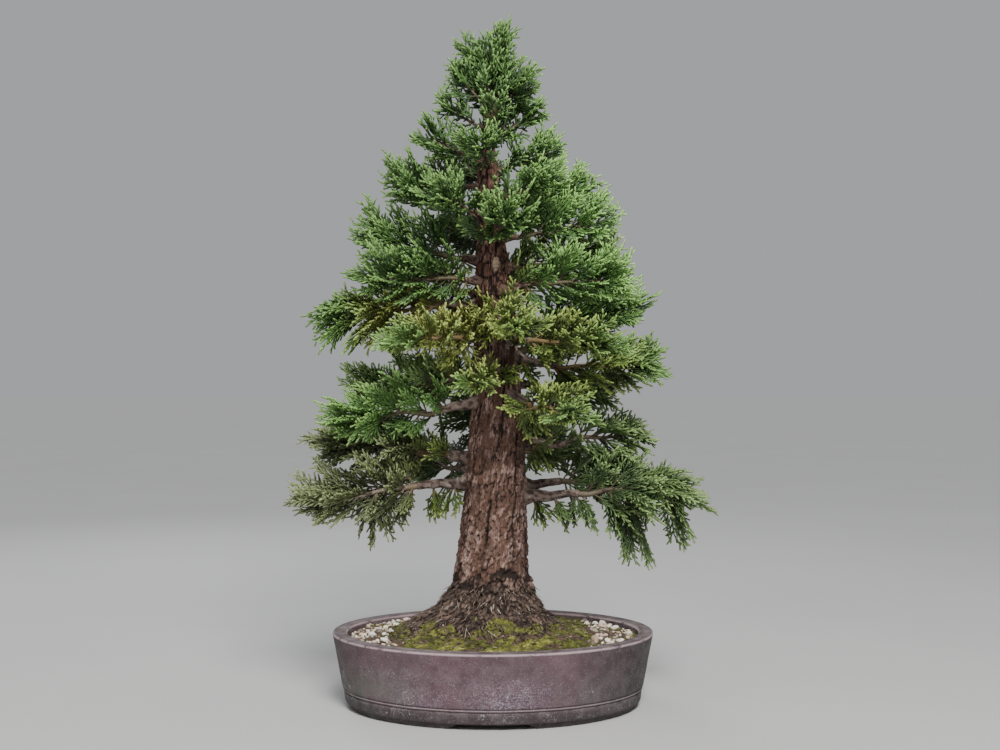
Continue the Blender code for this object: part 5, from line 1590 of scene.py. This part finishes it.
# %% Tufts on the old wood
TUFTS = {
    "left_1": (
        (0.44, (-0.6, -0.5, 0.5), 50.0), (0.2, (-0.25, -0.35, -0.8), 40.0), (0.3, (-0.3, 0.05, -0.8), 46.0),
        (0.4, (-0.35, -0.25, -0.8), 46.0), (0.52, (-0.15, 0.0, -0.9), 52.0),
        (0.58, (-0.1, -0.1, -0.95), 60.0)),
    "right_1": (
        (0.18, (0.3, 0.1, -0.8), 36.0), (0.28, (0.3, -0.35, -0.8), 40.0), (0.38, (0.25, 0.1, -0.8), 44.0),
        (0.62, (0.14, -0.05, -0.95), 96.0), (0.54, (0.3, -0.1, -0.85), 60.0),
        (0.72, (0.2, 0.1, -0.9), 58.0),
        (0.82, (0.36, -0.1, -0.85), 74.0)),
    "left_2": (
        (0.22, (-0.7, -0.3, 0.4), 36.0), (0.34, (-0.6, -0.4, 0.6), 56.0), (0.48, (-0.6, -0.3, 0.5), 52.0),
        (0.4, (-0.5, -0.4, -0.6), 46.0)),
    "left_4": (
        (0.24, (-0.6, -0.4, -0.5), 36.0), (0.3, (-0.5, -0.4, 0.6), 54.0), (0.18, (-0.3, -0.7, 0.5), 46.0)),
    "left_5": (
        (0.3, (-0.3, -0.4, -0.8), 50.0), (0.42, (-0.4, -0.2, -0.8), 56.0), (0.2, (0.1, -0.6, -0.7), 46.0)),
    "left_3": (
        (0.3, (-0.4, -0.5, 0.5), 50.0),),
    "left_6": (
        (0.2, (-0.5, -0.5, -0.6), 44.0),),
    "left_7": (
        (0.2, (-0.5, -0.5, -0.6), 42.0),),
    "right_7": (
        (0.16, (0.4, -0.4, 0.7), 44.0), (0.24, (0.4, -0.4, -0.7), 46.0)),
    "right_8": (
        (0.16, (0.5, -0.5, 0.6), 44.0), (0.2, (0.5, -0.5, -0.7), 42.0)),
    "right_4": (
        (0.26, (0.3, -0.4, 0.7), 50.0), (0.34, (0.4, -0.3, -0.7), 50.0), (0.16, (0.2, -0.7, -0.5), 40.0)),
    "right_3": (
        (0.3, (0.3, -0.5, 0.6), 46.0), (0.22, (0.3, -0.4, -0.7), 42.0)),
    "right_6": (
        (0.24, (0.3, -0.5, -0.7), 50.0), (0.34, (0.5, -0.3, -0.7), 50.0)),
    "front_3": (
        (0.18, (0.5, -0.6, 0.5), 44.0), (0.24, (-0.2, -0.7, 0.4), 46.0), (0.3, (-0.3, -0.4, -0.7), 46.0)),
    "front_4": (
        (0.2, (-0.3, -0.7, 0.3), 46.0), (0.3, (0.3, -0.4, -0.7), 46.0)),
    "front_5": (
        (0.16, (-0.7, -0.4, 0.5), 48.0), (0.2, (0.3, -0.6, 0.7), 46.0), (0.2, (-0.5, -0.5, -0.6), 42.0)),
    "front_1": (
        (0.24, (0.25, -0.5, -0.7), 40.0), (0.34, (0.1, -0.3, -0.9), 44.0)),
    "front_2": (
        (0.24, (-0.5, -0.6, 0.1), 34.0), (0.3, (0.6, -0.6, 0.0), 36.0)),
    "front_6": (
        (0.18, (0.5, -0.7, 0.4), 34.0), (0.2, (-0.6, -0.6, 0.3), 32.0)),
    "apex": (
        (0.04, (-0.5, -0.2, 0.82), 64.0), (0.0, (0.58, -0.2, 0.76), 66.0), (0.2, (-0.4, 0.1, 0.9), 50.0),
        (0.42, (-0.8, -0.1, 0.6), 58.0), (0.05, (0.85, -0.1, 0.5), 74.0)),
}
TUFT_SHOOTS, TUFT_SPREAD, TUFT_LIFT = 3, 0.28, 0.02
LEADER_LOW, LEADER_HIGH = STEM_TOP - 1.0, LEADER_TOP - 14.0
LEADER_ROWS, LEADER_SHOOTS = 24, 30
LEADER_LENGTH, LENGTH_LOSS, LEADER_OPENING, OPENING_LOSS = 58.0, 45.0, 50.0, 26.0
TUFT_LENGTHS, TUFT_TONES, TUFT_YOUNG = (0.8, 1.0), (0.2, 0.8), 0.1


def with_tufts(table, path, shoots, draw):
    """Add a table of tufts to the shoots; the path gives places for shares of the core."""
    rows = [row for row in table for _ in range(TUFT_SHOOTS)]
    share, aims, lengths = [np.array(column, dtype=float) for column in zip(*rows)]
    count = len(rows)
    scatter = draw.normal(0.0, TUFT_SPREAD, (count, 3))
    direction = unit(unit(aims) + scatter)
    length = lengths * (1.0 - 0.2 * np.linalg.norm(scatter, axis=1)) * draw.uniform(*TUFT_LENGTHS, count)
    start = path(share)
    more = Cords(start, direction, np.full((count, 3), TUFT_LIFT), length, fan_face(start, direction, draw),
                 draw.uniform(*TUFT_TONES, count), np.full(count, TUFT_YOUNG))
    return Cords(*(np.concatenate(pair) for pair in zip(shoots, more)))


def leader_place(share):
    return trunk_centre(LEADER_LOW + share * (LEADER_HIGH - LEADER_LOW))


def apex_spray():
    """The green leader above the wooden stem, with shoots all round it."""
    draw = np.random.default_rng(99)
    core = trunk_centre(np.linspace(LEADER_LOW, LEADER_HIGH, LEADER_ROWS))
    radii = np.maximum(0.92 * np.interp(core[:, 2], TRUNK_STATIONS[:, 0], TRUNK_STATIONS[:, 3]), 1.2)
    share = 0.02 + 0.96 * (np.arange(LEADER_SHOOTS) + 0.5) / LEADER_SHOOTS
    shoots = shoots_round(core, draw, LEADER_LENGTH - LENGTH_LOSS * share,
                          LEADER_OPENING - OPENING_LOSS * share, share, 0.0, SHOOTS.lift)
    shoots = with_tufts(TUFTS["apex"], leader_place, shoots, draw)
    return spray_mesh("foliage_apex", core, radii, shoots, draw)


# %% [markdown]
# All sprays share one effect, so it is a group: by the value `young` it goes from brown
# wood through old green, which also carries painted shade deep in the spray, and mature
# green to the pale tips, and it gives the small height of the scale leaves. Four
# materials place it with their own colours: fresh mid-green for the crown, deep green for
# the shaded limbs, yellow-green inside the tree and dusty grey-green for the old limbs on
# the left. Masks by place add the golden growth left of the trunk and painted light, half
# as strong again, high on the right and in a gap on the left.

# %% The foliage's finish


LEAF_PARTS = ("Mature", "Young", "Shaded", "Wood")


def build_leaf_group():
    group, given, result = new_group(
        "scale_leaves",
        [(label, "Color") for label in LEAF_PARTS],
        [("Colour", "Color"), ("Roughness", "Float"), ("Height", "Float")])
    place = object_place(group)
    young, tone = read_value(group, "young"), read_value(group, "tone")
    patches = value_noise(group, place, 22.0, 3.0, 0.6)
    speckle = value_noise(group, place, 420.0, 2.0, 0.6)
    # Age and painted shade: the inner parts of each spray, darker fronds and some patches turn to the
    # shaded colour.
    old_and_shade = maximum(group, remap(group, young, 0.55, 0.22),
                  multiply(group, remap(group, tone, 0.6, 0.1), 0.8))
    old_and_shade = maximum(group, old_and_shade, multiply(group, remap(group, patches, 0.56, 0.4), 0.6))
    colour = blend(group, old_and_shade, given["Mature"], given["Shaded"])
    tips = multiply(group, remap(group, young, 0.62, 1.12), remap(group, speckle, 0.3, 0.6, 0.6, 1.0))
    colour = blend(group, tips, colour, given["Young"])
    colour = blend(group, remap(group, young, 0.40, 0.20), colour, given["Wood"])
    scales = add(group, "TexVoronoi", {"Vector": place, "Scale": 620.0}).outputs["Distance"]
    rough = remap(group, speckle, 0.3, 0.7, 0.45, 0.7)
    fill(group, result.inputs, {"Colour": colour, "Roughness": rough, "Height": scales})
    return group


LEAVES = build_leaf_group()
# Colours in the order of LEAF_PARTS
TINTS = {
    "green": ((0.070, 0.150, 0.034), (0.22, 0.39, 0.110), (0.021, 0.050, 0.017), (0.105, 0.085, 0.050)),
    "deep": ((0.098, 0.163, 0.048), (0.28, 0.40, 0.15), (0.029, 0.055, 0.020), (0.120, 0.095, 0.062)),
    "yellow": ((0.098, 0.148, 0.030), (0.37, 0.47, 0.11), (0.030, 0.046, 0.012), (0.190, 0.135, 0.062)),
    "golden": ((0.170, 0.200, 0.040), (0.50, 0.56, 0.15), (0.056, 0.064, 0.015), (0.200, 0.145, 0.070)),
    "grey": ((0.122, 0.146, 0.058), (0.30, 0.36, 0.17), (0.046, 0.060, 0.026), (0.190, 0.150, 0.115)),
}
# The tint further out, and the distances in metres between which it takes over
FADES = {"green": ("green", 0.03, 0.08), "deep": ("deep", 0.05, 0.10),
         "yellow": ("green", 0.14, 0.21), "grey": ("grey", 0.08, 0.13)}
PAINTED_LIGHT_GAIN = 1.5


def painted_light_colour(colour):
    """The colour under painted light, half as strong again."""
    return PAINTED_LIGHT_GAIN * np.array(colour)


def foliage_finish(tint):
    """Shade-grown yellow-green near the lower trunk, which fades to the tint further out.
    High up on the right and in the open gap of the left mid tier the colours get painted
    light, half as strong again. Left of the trunk, at mid height, it is golden."""
    material, tree, shader = new_material("scale_leaves_" + tint)
    place = object_place(tree)
    level = add(tree, "VectorMath", {0: place, 1: (1.0, 1.0, 0.0)}, operation="MULTIPLY")
    reach = add(tree, "VectorMath", {0: level.outputs[0]}, operation="LENGTH").outputs["Value"]
    outer, near, far = FADES[tint]
    across, _, height = add(tree, "SeparateXYZ", {0: place}).outputs
    outward = maximum(tree, remap(tree, reach, near, far), remap(tree, height, 0.50, 0.60))
    # Painted light: high on the right, and in the gap of the left mid tier, the colours are made half as
    # strong again.
    painted_light = multiply(tree, remap(tree, across, 0.02, 0.10), remap(tree, height, 0.44, 0.54))
    gap = multiply(tree, remap(tree, across, -0.02, -0.07), remap(tree, height, 0.33, 0.36))
    gap = multiply(tree, gap, remap(tree, height, 0.46, 0.43, 0.0, 0.6))
    painted_light = maximum(tree, painted_light, gap)
    golden = multiply(tree, remap(tree, across, 0.02, -0.04), remap(tree, height, 0.40, 0.44))
    golden = multiply(tree, golden, remap(tree, height, 0.54, 0.51))
    given = {}
    for name, inside, ripe, outside in zip(LEAF_PARTS, TINTS["yellow"], TINTS["golden"], TINTS[outer]):
        inner = blend(tree, golden, rgb(*inside), rgb(*ripe))
        given[name] = blend(tree, outward, inner, blend(tree, painted_light, rgb(*outside), rgb(*painted_light_colour(outside))))
    leaves = use_group(tree, LEAVES, given)
    surface(tree, shader, leaves["Colour"], leaves["Roughness"],
            bump(tree, leaves["Height"], 0.0006, 0.6), 0.4)
    return material


foliage = {tint: foliage_finish(tint) for tint in FADES}
twiglet_total, triangle_total = 0, 0
for seed, limb in enumerate(LIMBS):
    mesh, twiglet_count = limb_spray(limb, 200 + seed)
    add_piece("foliage_" + limb.name, mesh, foliage[limb.tint], "foliage_" + limb.tint,
              ["spray_" + limb.name])
    twiglet_total += twiglet_count
    triangle_total += triangle_count(mesh)
mesh, twiglet_count = apex_spray()
add_piece("foliage_apex", mesh, foliage["green"], "foliage_green", ["spray_apex"])
triangle_total += triangle_count(mesh)
print("twiglets:", twiglet_total + twiglet_count, "foliage triangles:", triangle_total)
